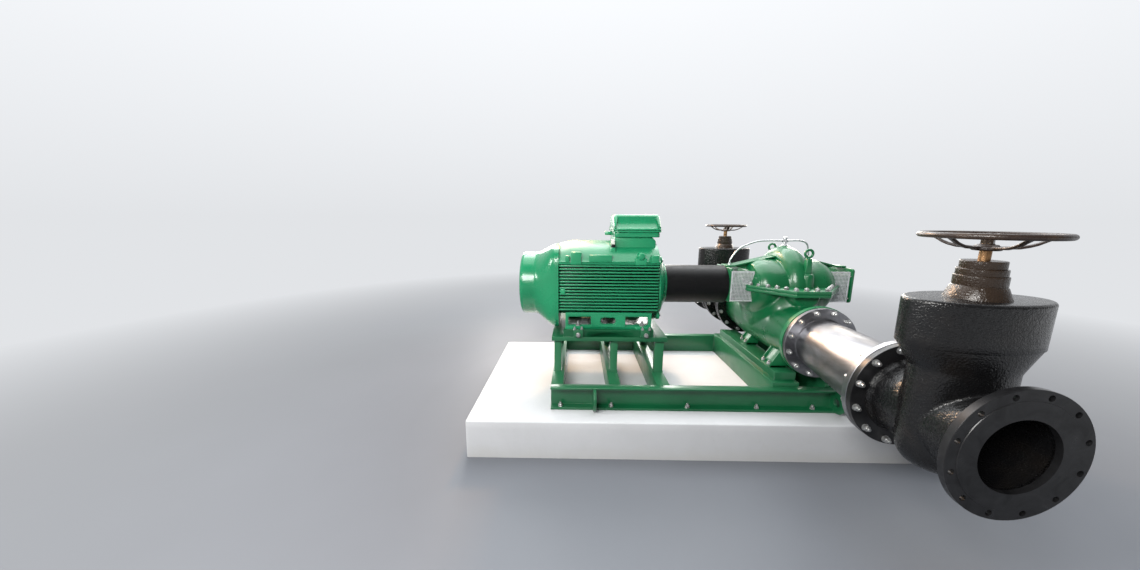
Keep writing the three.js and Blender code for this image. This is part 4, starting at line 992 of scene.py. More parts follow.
def make_terminal_box():
    t = TERMINAL
    mid = (t["left"] + t["right"]) / 2
    half_x = (t["right"] - t["left"]) / 2
    foot, split, inset, back = t["split"] - t["lip"], t["split"], t["inset"], t["set_back"]
    tray = extruded(
        rounded(half_x - inset, t["half_width"] - inset, 0.030, 8, (mid, 0)),
        "z", t["bottom"], foot + OVERLAP,
        0.006, 3)
    lip = extruded(rounded(half_x, t["half_width"], 0.040, 8, (mid, 0)), "z", foot, split - 0.0015, 0.003, 2)
    box = moved(gathered(tray, lip), Matrix.Translation(MOTOR))
    made_piece("terminal_tray", box, "motor", replaces=["terminal_box"])
    rim = extruded(
        rounded(half_x, t["half_width"], 0.040, 8, (mid, 0)),
        "z", split + 0.0015, split + t["flange"], 0.003, 2)
    outline = [*LID_FRONT, *[(-y, z) for y, z in reversed(LID_FRONT)]]
    outline = [(y, z - 0.002 if z == t["split"] + t["flange"] else z) for y, z in outline]
    lid = extruded(outline, "x", t["left"] + back, t["right"] - back)
    ends = [e for e in lid.edges if abs(e.verts[0].co.x - e.verts[1].co.x) < TOUCH
            and max(v.co.z for v in e.verts) > split + t["flange"] + TOUCH and e.calc_length() > TOUCH]
    bevelled(lid, 0.026, 5, edges=ends)
    bevelled(lid, 0.005, 3, over=26)
    lid = carved(lid, *[lid_scoop(side) for side in SIDES])
    pockets = []
    pocket = POCKET
    screws = []
    for x in (pocket["left"], pocket["right"]):
        for side in SIDES:
            centre = (x, side * pocket["y"], 0)
            pockets.append(turned(
                ((0, pocket["low"]), (pocket["radius"], pocket["low"]), (pocket["radius"], pocket["high"]),
                 (0, pocket["high"])), "z", centre, 24))
            spot = Vector(
                (x + math.copysign(0.010, mid - x), side * (pocket["y"] - 0.004), pocket["low"] - 0.001))
            screws.append(aimed(MOTOR + spot, (0, 0, 1)))
    lid = carved(lid, *pockets)
    lid = moved(gathered(rim, lid), Matrix.Translation(MOTOR))
    made_piece("terminal_lid", lid, "motor", replaces=["terminal_box_lid"], sharp=32)
    made_piece("lid_screws", repeated(nut(0.015, stud=0), screws), "motor")
    seal = rounded(half_x - 0.005, t["half_width"] - 0.005, 0.036, 8, (mid, 0))
    gasket = extruded(seal, "z", split - 0.002, split + 0.002)
    made_piece("lid_gasket", moved(gasket, Matrix.Translation(MOTOR)), "rubber")


def make_cable_gland():
    low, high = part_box("cable_gland")
    _, y, z = middle("cable_gland")
    start, end = low.x, high.x
    body = turned([
        (0.011, start + 0.012), (0.011, start), (0.0145, start), (0.0165, start + 0.004),
        (0.0165, end - 0.022),
        (0, end - 0.022), (0, start + 0.012)], "x", (0, y, z), 32)
    lock = moved(hexagon(0.032, 0.022), aimed((end, y, z), (-1, 0, 0), 0.3))
    made_piece(
        "gland_fitting", gathered(body, lock), "motor", replaces=["cable_gland"])


def make_motor_feet(sizes):
    for side, name in ((-1, "motor_foot_front"), (1, "motor_foot_rear")):
        foot = softened(name, 0.003, 2)
        near, far = sorted((side * 0.343, side * 0.352))
        plate = carved(
            extruded(rounded(0.143, 0.052, 0.012, 5, (-0.002, -0.262)), "y", near, far, 0.0015, 1),
            extruded(rounded(0.071, 0.037, 0.036, 10, (0, -0.261)), "y", near - 0.01, far + 0.01))
        whole = gathered(foot, moved(plate, Matrix.Translation(MOTOR)))
        made_piece(f"{name}_casting", whole, "motor", replaces=[name])
    pad_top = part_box("motor_foot_front")[0].z + 0.026
    feet, jacks, studs = [], [], []
    spins = random.Random(5)
    for side in SIDES:
        for x in (-0.252, 0.281):
            feet.append(aimed((MOTOR.x + x, side * 0.340, pad_top), (0, 0, 1), spins.uniform(0, 1)))
        for x in (-1.045, -0.490):
            jacks.append(aimed((x, side * 0.413, 0.804), (0, side, 0), spins.uniform(0, 1)))
            for shift in (-0.029, 0.029):
                studs.append(aimed((x + shift, side * 0.400, 0.846), (0, 0, 1), spins.uniform(0, 1)))
    made_piece("motor_foot_nuts", repeated(nut(sizes.foot, stud=0.9), feet), "bolt")
    made_piece("jack_screw_heads", repeated(nut(sizes.jack, stud=0.3), jacks), "bolt")
    made_piece("jack_block_studs", repeated(nut(sizes.jack * 0.7, stud=0.9), studs), "bolt")


def make_sensor_peg():
    """The small pale peg beside the terminal box, over a black block that paints the shade of its pocket."""
    spot = MOTOR + Vector((0.034, -0.236, 0))
    peg = block(spot + Vector((-0.015, -0.014, 0.366)), spot + Vector((0.015, 0.014, 0.408)), 0.004, 3)
    made_piece("frame_sensor", peg, "peg")
    # Painted shade: a solid black block and neck stand for the shaded pocket under the peg.
    pocket = block(spot + Vector((-0.014, -0.016, 0.340)), spot + Vector((0.018, 0.020, 0.364)), 0.002)
    foot = block(spot + Vector((-0.017, -0.018, 0.296)), spot + Vector((0.021, 0.024, 0.341)), 0.003)
    neck = block(spot + Vector((-0.008, -0.008, 0.360)), spot + Vector((0.008, 0.008, 0.370)), 0.001)
    made_piece("sensor_pocket_shade", gathered(pocket, neck), "rubber")
    made_piece("sensor_foot", foot, "motor")


# Coupling


def make_coupling_guard():
    low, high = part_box("coupling_guard")
    radius = (high.z - low.z) / 2
    wall, lap = 0.004, 0.001
    start, end = low.x, high.x
    shell = turned([
        (radius - wall, start), (radius - 0.001, start), (radius, start + 0.001), (radius, end - 0.001),
        (radius - 0.001, end), (radius - wall, end), (radius - wall, start)], "x", (0, 0, SHAFT_Z), 96)
    seam = (start + end) / 2 - 0.020
    sleeve = turned([
        (radius - lap, start + 0.002), (radius + lap * 0.6, start + 0.003),
        (radius + lap * 0.6, seam - 0.001),
        (radius - lap, seam), (radius - lap, start + 0.002)], "x", (0, 0, SHAFT_Z), 96)
    made_piece(
        "guard_tube", gathered(shell, sleeve), "guard", replaces=["coupling_guard"])
    low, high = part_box("pump_shaft")
    shaft = rod(0.032, low.x, high.x, "x", (0, 0, SHAFT_Z), 48)
    made_piece("shaft_bar", shaft, "zinc", replaces=["pump_shaft"])


# Pump


def volute_shell():
    v = VOLUTE
    points = [(0, -v["half_width"])]
    for i in range(33):
        angle = -math.pi / 2 + math.pi * i / 32
        points.append(
            (v["radius"] - v["rim_depth"] * (1 - math.cos(angle)), v["half_width"] * math.sin(angle)))
    return turned(points + [(0, v["half_width"])], "x", steps=96)


def barrel_outline(share):
    """Half width and radius of a shoulder's skin at a share of its quarter turns."""
    s = SHOULDER
    angle = -math.pi / 2 + math.pi * share
    along = math.copysign(abs(math.sin(angle)) ** (2 / s["power"]), math.sin(angle))
    return along * s["half_x"], max(0.0, math.cos(angle)) ** (2 / s["power"])


def shoulder_shell(side, drop=0.0):
    s = SHOULDER
    points = []
    for i in range(41):
        along, radius = barrel_outline(i / 40)
        points.append((radius if 0 < i < 40 else 0.0, along))
    bm = turned(points, "x", steps=96)
    bmesh.ops.scale(bm, vec=(1, s["half_y"], s["half_z"] + drop), verts=bm.verts)
    bmesh.ops.translate(bm, vec=(side * s["x"], 0, 0), verts=bm.verts)
    return bm


def shoulder_rib(side):
    """The raised edge round the outer face of a shoulder."""
    s, r = SHOULDER, RIB
    share = r["x"] / s["half_x"]
    radius = (1 - share ** s["power"]) ** (1 / s["power"])
    lift = r["raise"] / s["half_z"]
    width = r["width"] / 2
    points = [
        (radius - 0.12, -width), (radius + lift * 0.4, -width), (radius + lift, -width * 0.5),
        (radius + lift, width * 0.5), (radius - lift * 1.4, width), (radius - 0.12, width),
        (radius - 0.12, -width)]
    bm = turned(points, "x", steps=96)
    bmesh.ops.scale(bm, vec=(side, s["half_y"], s["half_z"]), verts=bm.verts)
    bmesh.ops.translate(bm, vec=(side * (s["x"] + r["x"]), 0, 0), verts=bm.verts)
    return closed(bm)


def split_flange(z0, z1):
    """The octagonal flange, measured from the CAD node's own corners."""
    return extruded(flange_outline(), "z", z0, z1, 0.003, 2, PUMP)


def flange_outline(inset=0.0):
    """The flange's eight corners, or those of a line inside its edge."""
    node = frame["nodes"]["pump_casing_upper"].data
    edge = {
        (round(v.co.x - PUMP.x, 4), round(v.co.y, 4)) for v in node.vertices
        if abs(v.co.z - (SHAFT_Z + SPLIT["thickness"])) < 2e-4}
    half_y = max(y for x, y in edge)
    half_x = max(x for x, y in edge)
    front = max(x for x, y in edge if abs(y - half_y) < 1e-4)
    side = max(y for x, y in edge if abs(x - half_x) < 1e-4)
    slope = Vector((half_x - front, half_y - side))
    short = inset * (slope.length - slope.y) / slope.x if slope.x else inset
    long = inset * (slope.length - slope.x) / slope.y if slope.y else inset
    quarter = [(front - short, half_y - inset), (half_x - inset, side - long)]
    back = quarter[::-1]
    return (
        [(x, -y) for x, y in quarter] + back + [(-x, y) for x, y in quarter] + [(-x, -y) for x, y in back])


def eye_places():
    """Centre of each lifting eye's foot, from its CAD node."""
    places = {}
    for name in ("front", "rear"):
        low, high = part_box(f"lifting_eye_{name}")
        places[name] = Vector(((low.x + high.x) / 2, (low.y + high.y) / 2, low.z))
    return places


def arm_shells(side):
    a = ARM
    top = [(side * a["end"], a["top"]), (side * a["knee"], a["top"]), (side * a["ridge_x"], a["ridge"])]
    low = [(x, z - a["flange"]) for x, z in reversed(top)]
    flange = extruded(top + low, "y", -a["half_width"], a["half_width"], 0.0035, 2)
    web = extruded([
        (side * (a["end"] - 0.040), a["top"] - 0.003), (side * a["knee"], a["top"] - 0.003),
        (side * a["ridge_x"], a["ridge"] - 0.003), (side * a["ridge_x"], a["web_low"]),
        (side * a["web_foot"], a["web_low"]), (side * a["haunch_x"], a["haunch_z"])],
        "y", -a["web"] / 2, a["web"] / 2, 0.004, 2)
    return [flange, web]


def tapered_post(x, y, low, high, foot, top, depth):
    """A square post that narrows upward."""
    bm = block((-1, -1, 0), (1, 1, 1), 0)
    for v in bm.verts:
        half = top if v.co.z > 0.5 else foot
        grow = half / foot
        v.co = Vector(
            (x + v.co.x * half, y + v.co.y * depth * (1 + (1 - grow) * (v.co.z < 0.5)),
                low + v.co.z * (high - low)))
    return bevelled(bm, 0.006, 2)


def make_upper_casing(sizes):
    eyes = eye_places()
    front, rear = eyes["front"] - PUMP, eyes["rear"] - PUMP
    b, r = FRONT_BOSS, REAR_BOSS
    column_y = front.y - 0.012
    column = turned([
        (0, 0.010), (b["column_foot"], 0.010), (b["column"], b["step"] - 0.030),
        (b["column"] * 0.94, b["step"] - 0.012),
        (b["column"] * 0.80, b["step"]), (0, b["step"] + 0.006)], "z", (front.x + 0.002, column_y, 0), 40)
    cast = [
        volute_shell(), shoulder_shell(-1), shoulder_shell(1), shoulder_rib(-1), shoulder_rib(1), column,
        turned(((0, 0.300), (0.044, 0.300), (0.038, 0.346), (0, 0.346)), "z", steps=32)]
    dome = halved(fused(cast, sizes.cast_voxel, 3), 0.0, True)
    posts = [
        tapered_post(front.x, front.y, b["step"] - 0.020, front.z - 0.0005, b["foot"], b["top"], b["depth"]),
        tapered_post(rear.x, rear.y, 0.100, rear.z - 0.0005, r["foot"], r["top"], r["depth"])]
    arms = [shell for side in SIDES for shell in arm_shells(side)]
    whole = moved(gathered(dome, *posts, *arms), Matrix.Translation(PUMP))
    made_piece("casing_dome", whole, "pump", replaces=["pump_casing_upper"], sharp=50)
    rim = split_flange(SPLIT["seam"] / 2, SPLIT["thickness"])
    made_piece("casing_flange_upper", rim, "pump")


def foot_shell(x, y, width, depth, side):
    base, pad, top, lean, recess, rib = -0.602, 0.022, -0.420, 0.096, 0.014, 0.012

    def wedge(inset, low, high):
        return extruded([
            (side * (x - inset), base + pad), (side * (x - inset - lean), top),
            (side * (x - lean - depth), top),
            (side * (x - depth), base + 0.001), (side * (x - inset), base + 0.001)],
            "y", low, high, 0.0025, 2)

    low, high = y - width / 2, y + width / 2
    shells = [wedge(recess, low + 0.004, high - 0.004), wedge(0, low, low + rib), wedge(0, high - rib, high)]
    inner, outer = sorted((side * (x - depth), side * x))
    shells.append(block((inner, low, base), (outer, high, base + pad), 0.003, 2))
    return gathered(*shells)


PUMP_FEET = ((0.262, -0.400, 0.148, 0.130), (0.205, 0.140, 0.132, 0.100))


def make_lower_casing(sizes):
    n = NECK
    face = -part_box("pump_casing_lower")[0].y
    drop = NOZZLE.z - SHAFT_Z
    offset = NOZZLE.x - PUMP.x
    belly = bmesh.new()
    bmesh.ops.create_uvsphere(belly, u_segments=96, v_segments=48, radius=1)
    bmesh.ops.scale(belly, vec=(BELLY["half_x"], BELLY["half_y"], BELLY["half_z"]), verts=belly.verts)
    bmesh.ops.translate(belly, vec=(offset, 0, BELLY["z"]), verts=belly.verts)
    neck = turned([
        (0, -face + 0.010), (n["radius"], -face + 0.010), (n["radius"], -face + n["collar"]),
        (n["root"], -n["root_y"]), (n["root"], n["root_y"]), (n["radius"], face - n["collar"]),
        (n["radius"], face),
        (0, face)], "y", (offset, 0, drop), 96)
    nose = turned([
        (0, 0), (NOSE["radius"] - NOSE["edge"], 0), (NOSE["radius"] - NOSE["edge"] * 0.3, NOSE["edge"] * 0.3),
        (NOSE["radius"], NOSE["edge"]), (NOSE["radius"] + 0.010, NOSE["depth"]), (0, NOSE["depth"])],
        "y", steps=48)
    nose = moved(
        nose, Matrix.Translation((NOSE["x"], NOSE["y"], NOSE["z"])) @ Matrix.Rotation(-NOSE["tilt"], 4, "X"))
    cast = [
        volute_shell(), shoulder_shell(-1, SHOULDER["drop"]),
        shoulder_shell(1, SHOULDER["drop"]), belly, neck, nose]
    body = halved(fused(cast, sizes.cast_voxel * 1.5, 6), 0.0, False)
    bores = [turned((
        (0, s * (face - n["depth"])), (n["bore"], s * (face - n["depth"])), (n["bore"], s * (face + 0.01)),
        (0, s * (face + 0.01))), "y", (offset, 0, drop), 64) for s in SIDES]
    body = carved(body, *bores)
    whole = moved(body, Matrix.Translation(PUMP))
    made_piece("casing_belly", whole, "pump", replaces=["pump_casing_lower"], sharp=50)
    made_piece(
        "casing_flange_lower", split_flange(-SPLIT["thickness"], -SPLIT["seam"] / 2), "pump")
    flange = turned([
        (n["bore"], -face), (0.2710, -face), (0.2725, -face + 0.0015), (0.2725, -face + 0.0345),
        (0.2710, -face + 0.036), (n["radius"] + 0.012, -face + 0.036), (n["radius"] - 0.006, -face + 0.050),
        (n["bore"], -face + 0.050), (n["bore"], -face)], "y", (NOZZLE.x, 0, NOZZLE.z), 96)
    made_piece("nozzle_flange_front", flange, "pump")
    feet = []
    for x, y, width, depth in PUMP_FEET:
        for side in SIDES:
            feet.append(
                moved(foot_shell(x, y, width, depth, side), Matrix.Translation((NOZZLE.x, 0, SHAFT_Z))))
    made_piece("pump_feet", gathered(*feet), "pump")
    bolts = []
    for x, y, width, depth in PUMP_FEET:
        for side in SIDES:
            for shift in (-0.3, 0.3):
                spot = (NOZZLE.x + side * (x - 0.006), y + width * shift, SHAFT_Z - 0.580)
                bolts.append(aimed(spot, (0, 0, 1)))
    return bolts


def make_split_bolts(sizes):
    """The row of nuts along the split flange."""
    spins = random.Random(3)
    outline = flange_outline(SPLIT["bolt_inset"])
    places = []
    for (x0, y0), (x1, y1) in zip(outline, outline[1:] + outline[:1]):
        run = Vector((x1 - x0, y1 - y0))
        steps = max(1, round(run.length / SPLIT["bolt_pitch"]))
        for k in range(steps):
            point = Vector((x0, y0)) + run * k / steps
            spot = PUMP + Vector((point.x, point.y, SPLIT["thickness"]))
            places.append(aimed(spot, (0, 0, 1), spins.uniform(0, 1)))
    made_piece("split_flange_nuts", repeated(nut(sizes.split, stud=0.3), places), "bolt")


def make_bearing_brackets():
    b = BRACKET
    for side, name in ((-1, "drive"), (1, "outer")):
        top = ARM["top"] - ARM["flange"] - 0.0003
        mid_z = (top + b["bottom"]) / 2
        end = b["end"]
        low, high = sorted((side * (end - b["plate"]), side * end))
        plate = extruded(
            rounded(b["half_width"], (top - b["bottom"]) / 2, b["corner"], 6, (0, mid_z)),
            "x", low, high, 0.004, 3)
        near, far = sorted((side * (end - b["housing_length"]), side * (end - 0.001)))
        housing = turned([
            (0, near), (b["housing"] - 0.006, near), (b["housing"], near + 0.006), (b["housing"], far),
            (0, far)], "x", steps=64)
        near, far = sorted((side * b["root"], side * (end - 0.001)))
        shaft = rod(b["shaft"], near, far, "x", steps=40)
        seal = turned([
            (0, side * 0.250), (0.088, side * 0.250), (0.088, side * 0.322), (0.082, side * 0.328),
            (0.052, side * 0.330), (0.052, side * 0.352), (0, side * 0.352)], "x", steps=48)
        face = side * (end - 0.001)
        bottom, drop, thick = b["bottom"], b["arm_drop"], b["arm_thickness"]
        shelf = extruded([
            (face, bottom + 0.001), (side * b["root"], bottom - drop),
            (side * b["root"], bottom - drop - thick),
            (face, bottom - 0.001)], "y", -b["arm_half_width"], b["arm_half_width"], 0.0006, 1)
        web = extruded([
            (face, b["web_top"]), (side * (end - b["web_length"]), b["web_top"]),
            (side * b["root"], bottom - drop - 0.001), (face, bottom)],
            "y", -b["web"] / 2, b["web"] / 2, 0.003, 2)
        parts = [plate, housing, shelf, web]
        if side > 0:
            cone = turned([
                (0, end - 0.002), (0.112, end - 0.002), (0.112, end + 0.010), (0.108, end + 0.013),
                (0.086, end + 0.016), (0.060, end + 0.030), (0.054, end + b["nose"]), (0, end + b["nose"])],
                "x", steps=64)
            parts.append(cone)
        else:
            parts.append(turned([
                (0, -end + 0.012), (0.118, -end + 0.012), (0.120, -end + 0.010), (0.120, -end + 0.001),
                (0, -end + 0.001)], "x", steps=64))
        cast = moved(gathered(*parts), Matrix.Translation(PUMP))
        made_piece(
            f"bearing_yoke_{name}", cast, "pump", replaces=[f"bearing_bracket_{name}"])
        metal = moved(gathered(shaft, seal), Matrix.Translation(PUMP))
        made_piece(f"shaft_seal_{name}", metal, "zinc")
        places = []
        for k in range(6):
            angle = FULL_TURN * (k + 0.5) / 6
            reach = 0.099
            spot = PUMP + Vector(
                (side * (end + (0.0125 if side > 0 else 0.0)), math.cos(angle) * reach,
                    math.sin(angle) * reach))
            places.append(aimed(spot, (side, 0, 0), 0.2 * k))
        made_piece(f"bearing_cap_bolts_{name}", repeated(nut(0.013, washer=False, stud=0), places), "bolt")


def make_guard_sheets():
    for row in ("front", "rear"):
        for end in ("drive", "outer"):
            node = f"guard_sheet_{row}_{end}"
            low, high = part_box(node)
            columns = round((high.x - low.x) / SHEET["pitch"])
            rows = round((high.z - low.z) / SHEET["pitch"])
            bm = bmesh.new()
            centre = (low + high) / 2
            shape = Matrix.Translation(centre) @ Matrix.Diagonal((high.x - low.x, 1, high.z - low.z, 1)) \
                @ Matrix.Rotation(math.pi / 2, 4, "X")
            bmesh.ops.create_grid(bm, x_segments=columns, y_segments=rows, size=0.5, matrix=shape)
            cells = [f for f in bm.faces if min(
                abs(f.calc_center_median().x - low.x), abs(f.calc_center_median().x - high.x),
                abs(f.calc_center_median().z - low.z),
                abs(f.calc_center_median().z - high.z)) > SHEET["pitch"]]
            web = (SHEET["pitch"] - SHEET["hole"]) / 2
            bmesh.ops.inset_individual(bm, faces=cells, thickness=web, depth=0)
            bmesh.ops.delete(bm, geom=cells, context="FACES")
            bmesh.ops.solidify(bm, geom=bm.faces[:], thickness=SHEET["thickness"])
            bmesh.ops.recalc_face_normals(bm, faces=bm.faces)
            mid = sum((v.co.y for v in bm.verts)) / len(bm.verts)
            bmesh.ops.translate(bm, vec=(0, centre.y - mid, 0), verts=bm.verts)
            made_piece(f"perforated_{row}_{end}", bm, "sheet", replaces=[node], sharp=20)
    screws = []
    for face in SIDES:
        for side in SIDES:
            for z in (-0.090, 0.100):
                screws.append(aimed(PUMP + Vector((side * 0.486, face * 0.170, z)), (0, face, 0)))
    made_piece("sheet_screws", repeated(nut(0.011, stud=0), screws), "bolt")


def make_lifting_eyes():
    for name, foot in eye_places().items():
        e = EYE
        ring = turned([
            (e["ring"] + e["wire"] * math.cos(a), e["wire"] * math.sin(a))
            for a in [FULL_TURN * k / 16 for k in range(16)] + [0]], "y", (0, 0, e["ring"] + e["neck"]), 48)
        neck = turned(
            ((0, 0), (0.017, 0), (0.0125, 0.010), (0.0125, e["neck"] + 0.002), (0, e["neck"] + 0.002)),
            steps=24)
        wide, high = e["collar"], e["collar_height"]
        collar = turned(((0, 0), (wide, 0), (wide, high - 0.002), (wide - 0.002, high), (0, high)), steps=24)
        whole = moved(gathered(ring, neck, collar), Matrix.Translation(foot))
        made_piece(f"eye_bolt_{name}", whole, "pump", replaces=[f"lifting_eye_{name}"])


def tube_along(points, radius):
    """A round tube through points, closed at both ends."""
    curve = bpy.data.curves.new("route", "CURVE")
    curve.dimensions = "3D"
    curve.bevel_depth = radius
    curve.bevel_resolution = 4
    curve.use_fill_caps = True
    curve.resolution_u = 10
    line = curve.splines.new("BEZIER")
    line.bezier_points.add(len(points) - 1)
    for spot, point in zip(line.bezier_points, points):
        spot.co = point
        spot.handle_left_type = spot.handle_right_type = "AUTO"
    passing = bpy.data.objects.new("route", curve)
    bpy.context.scene.collection.objects.link(passing)
    evaluated = passing.evaluated_get(bpy.context.evaluated_depsgraph_get())
    bm = bmesh.new()
    bm.from_mesh(evaluated.to_mesh())
    evaluated.to_mesh_clear()
    bpy.data.objects.remove(passing)
    bpy.data.curves.remove(curve)
    return closed(bm)


def make_flush_piping():
    f = FLUSH
    crown = SHAFT_Z + 0.3463
    z = SHAFT_Z + f["z"]
    parts = [turned([
        (0, crown), (0.022, crown), (0.022, crown + 0.008), (0.020, crown + 0.010), (0.0145, crown + 0.010),
        (0.0145, z + 0.014), (0.018, z + 0.016), (0.018, z + 0.032), (0.016, z + 0.034), (0, z + 0.034)],
        "z", (PUMP.x, 0, 0), 32)]
    parts.append(turned((
        (0, -f["arm_end"]), (0.0105, -f["arm_end"]), (f["arm_radius"], -f["arm_end"] + 0.002),
        (f["arm_radius"], f["arm_end"] - 0.002), (0.0105, f["arm_end"]), (0, f["arm_end"])), "x",
        (PUMP.x, 0, z), 32))
    for side in SIDES:
        parts.append(moved(hexagon(0.024, 0.014), aimed((PUMP.x + side * 0.012, 0, z), (side, 0, 0))))
    for points, side, end in ((FLUSH_LEFT, -1, FLUSH_ENDS[0]), (FLUSH_RIGHT, 1, FLUSH_ENDS[1])):
        route = [(PUMP.x + side * (f["arm_end"] - 0.004), 0, z)]
        route += [(NOZZLE.x + x, 0, SHAFT_Z + dz) for x, dz in points]
        foot = SHAFT_Z + ARM["top"] if side < 0 else SHAFT_Z + 0.215
        route.append((NOZZLE.x + end, 0, foot))
        parts.append(tube_along(route, f["radius"]))
        rest = SHAFT_Z + ARM["top"] if side < 0 else SHAFT_Z + ARM["top"] + 0.030
        parts.append(moved(hexagon(0.022, 0.016), aimed((NOZZLE.x + end, 0, rest), (0, 0, 1))))
    made_piece("flush_tubes", gathered(*parts), "zinc", replaces=["flush_piping"])


# Spools


def make_spools(sizes):
    spins = random.Random(21)
    low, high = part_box("front_spool")
    start, end = high.y, low.y
    valve = middle("front_valve_wedge")
    pump_radius, valve_radius, wall = 0.185, 0.225, 0.009
    rings = []
    for k in range(25):
        t = k / 24
        rings.append((t, pump_radius + (valve_radius - pump_radius) * t))
    outer = [
        upright(r, start + (end - start) * t, NOZZLE.z + (valve.z - NOZZLE.z) * t, NOZZLE.x)
        for t, r in rings]
    inner = [
        upright(r - wall, start + (end - start) * t, NOZZLE.z + (valve.z - NOZZLE.z) * t, NOZZLE.x)
        for t, r in reversed(rings)]
    pipe = lofted(outer + inner, 96, tube=True)

    def flange_disc(radius, y0, y1, z, bore):
        low_y, high_y = sorted((y0, y1))
        return turned([
            (bore, low_y), (radius - 0.002, low_y), (radius, low_y + 0.002), (radius, high_y - 0.002),
            (radius - 0.002, high_y), (bore, high_y), (bore, low_y)], "y", (NOZZLE.x, 0, z), 96)

    depth = 0.035
    discs = [
        flange_disc(0.2675, start, start - depth, NOZZLE.z, pump_radius - 0.004),
        flange_disc(0.300, end, end + depth, valve.z, valve_radius - 0.004)]
    beads = []
    for y, z, radius in (
            (start - depth, NOZZLE.z, pump_radius + 0.003), (end + depth, valve.z, valve_radius - 0.001)):
        beads.append(turned([
            (radius + 0.006 * math.cos(a), 0.006 * math.sin(a))
            for a in [FULL_TURN * k / 8 for k in range(8)] + [0]],
            "y", (NOZZLE.x, y, z), 96))
    made_piece(
        "front_spool_steel", gathered(pipe, *discs, *beads), "steel",
        replaces=["front_spool"], sharp=30)
    low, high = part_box("rear_spool")
    start, end = low.y, high.y
    radius, hub, taper, flange, thick = 0.190, 0.212, 0.040, 0.300, 0.036
    bore = radius - 0.012
    profile = [
        (bore, start), (flange - 0.002, start), (flange, start + 0.002), (flange, start + thick - 0.002),
        (flange - 0.002, start + thick), (hub + 0.006, start + thick), (hub, start + thick + 0.006),
        (radius, start + thick + taper), (radius, end - thick - taper), (hub, end - thick - 0.006),
        (hub + 0.006, end - thick), (flange - 0.002, end - thick), (flange, end - thick + 0.002),
        (flange, end - 0.002), (flange - 0.002, end), (bore, end), (bore, start)]
    made_piece(
        "rear_spool_casting", turned(profile, "y", (NOZZLE.x, 0, NOZZLE.z), 96), "black",
        replaces=["rear_spool"])
    ring_low, ring_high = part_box("pump_nozzle_ring_rear")
    ring = turned([
        (0.2156, ring_low.y), (0.298, ring_low.y), (0.300, ring_low.y + 0.002), (0.300, ring_high.y - 0.002),
        (0.298, ring_high.y), (0.2156, ring_high.y), (0.2156, ring_low.y)], "y", (NOZZLE.x, 0, NOZZLE.z), 96)
    made_piece("loose_flange_rear", ring, "black", replaces=["pump_nozzle_ring_rear"])
    flange_nut = nut(sizes.flange, stud=0.75)
    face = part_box("front_spool")[1].y
    front = ring_of(12, 0.240, (NOZZLE.x, face - depth, NOZZLE.z), -1, spins)
    back = ring_of(12, 0.240, (NOZZLE.x, face + 0.0363, NOZZLE.z), 1, spins)
    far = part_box("front_spool")[0].y
    near_valve = ring_of(12, 0.272, (NOZZLE.x, far + depth, valve.z), 1, spins)
    on_valve = ring_of(12, 0.272, (NOZZLE.x, far - 0.0366, valve.z), -1, spins)
    places = front + back + near_valve + on_valve
    made_piece("front_flange_nuts", repeated(flange_nut, places), "bolt")
    rear_nut = nut(sizes.flange, stud=0.75)
    ring_y, spool_y = ring_low.y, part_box("rear_spool")[0].y
    rear = ring_of(12, 0.272, (NOZZLE.x, ring_y, NOZZLE.z), -1, spins)
    rear += ring_of(12, 0.272, (NOZZLE.x, spool_y + thick, NOZZLE.z), 1, spins)
    rear += ring_of(12, 0.272, (NOZZLE.x, end - thick, NOZZLE.z), -1, spins)
    rear += ring_of(12, 0.272, (NOZZLE.x, end + 0.0366, NOZZLE.z), 1, spins)
    made_piece("rear_flange_nuts", repeated(rear_nut, rear), "bolt")


# Gate valves


def quarter(count):
    return [math.pi / 2 * k / count for k in range(count + 1)]


def valve_measures(name):
    """Heights and places of one valve, from its CAD nodes."""
    wedge = middle(f"{name}_valve_wedge")
    body_low, body_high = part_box(f"{name}_valve_body")
    bonnet_low, bonnet_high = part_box(f"{name}_valve_bonnet")
    neck_low, neck_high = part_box(f"{name}_valve_neck")
    wheel_low, wheel_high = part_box(f"{name}_handwheel")
    return {
        "axis": wedge, "half": (body_high.y - body_low.y) / 2, "middle_y": (body_low.y + body_high.y) / 2,
        "drum_low": bonnet_low.z, "drum_high": bonnet_high.z, "neck_high": neck_high.z,
        "drum_x": (bonnet_high.x - bonnet_low.x) / 2, "drum_y": (bonnet_high.y - bonnet_low.y) / 2,
        "neck_radius": (neck_high.x - neck_low.x) / 2, "wheel_radius": (wheel_high.x - wheel_low.x) / 2,
        "wheel_z": wheel_high.z - WHEEL["tube"]}


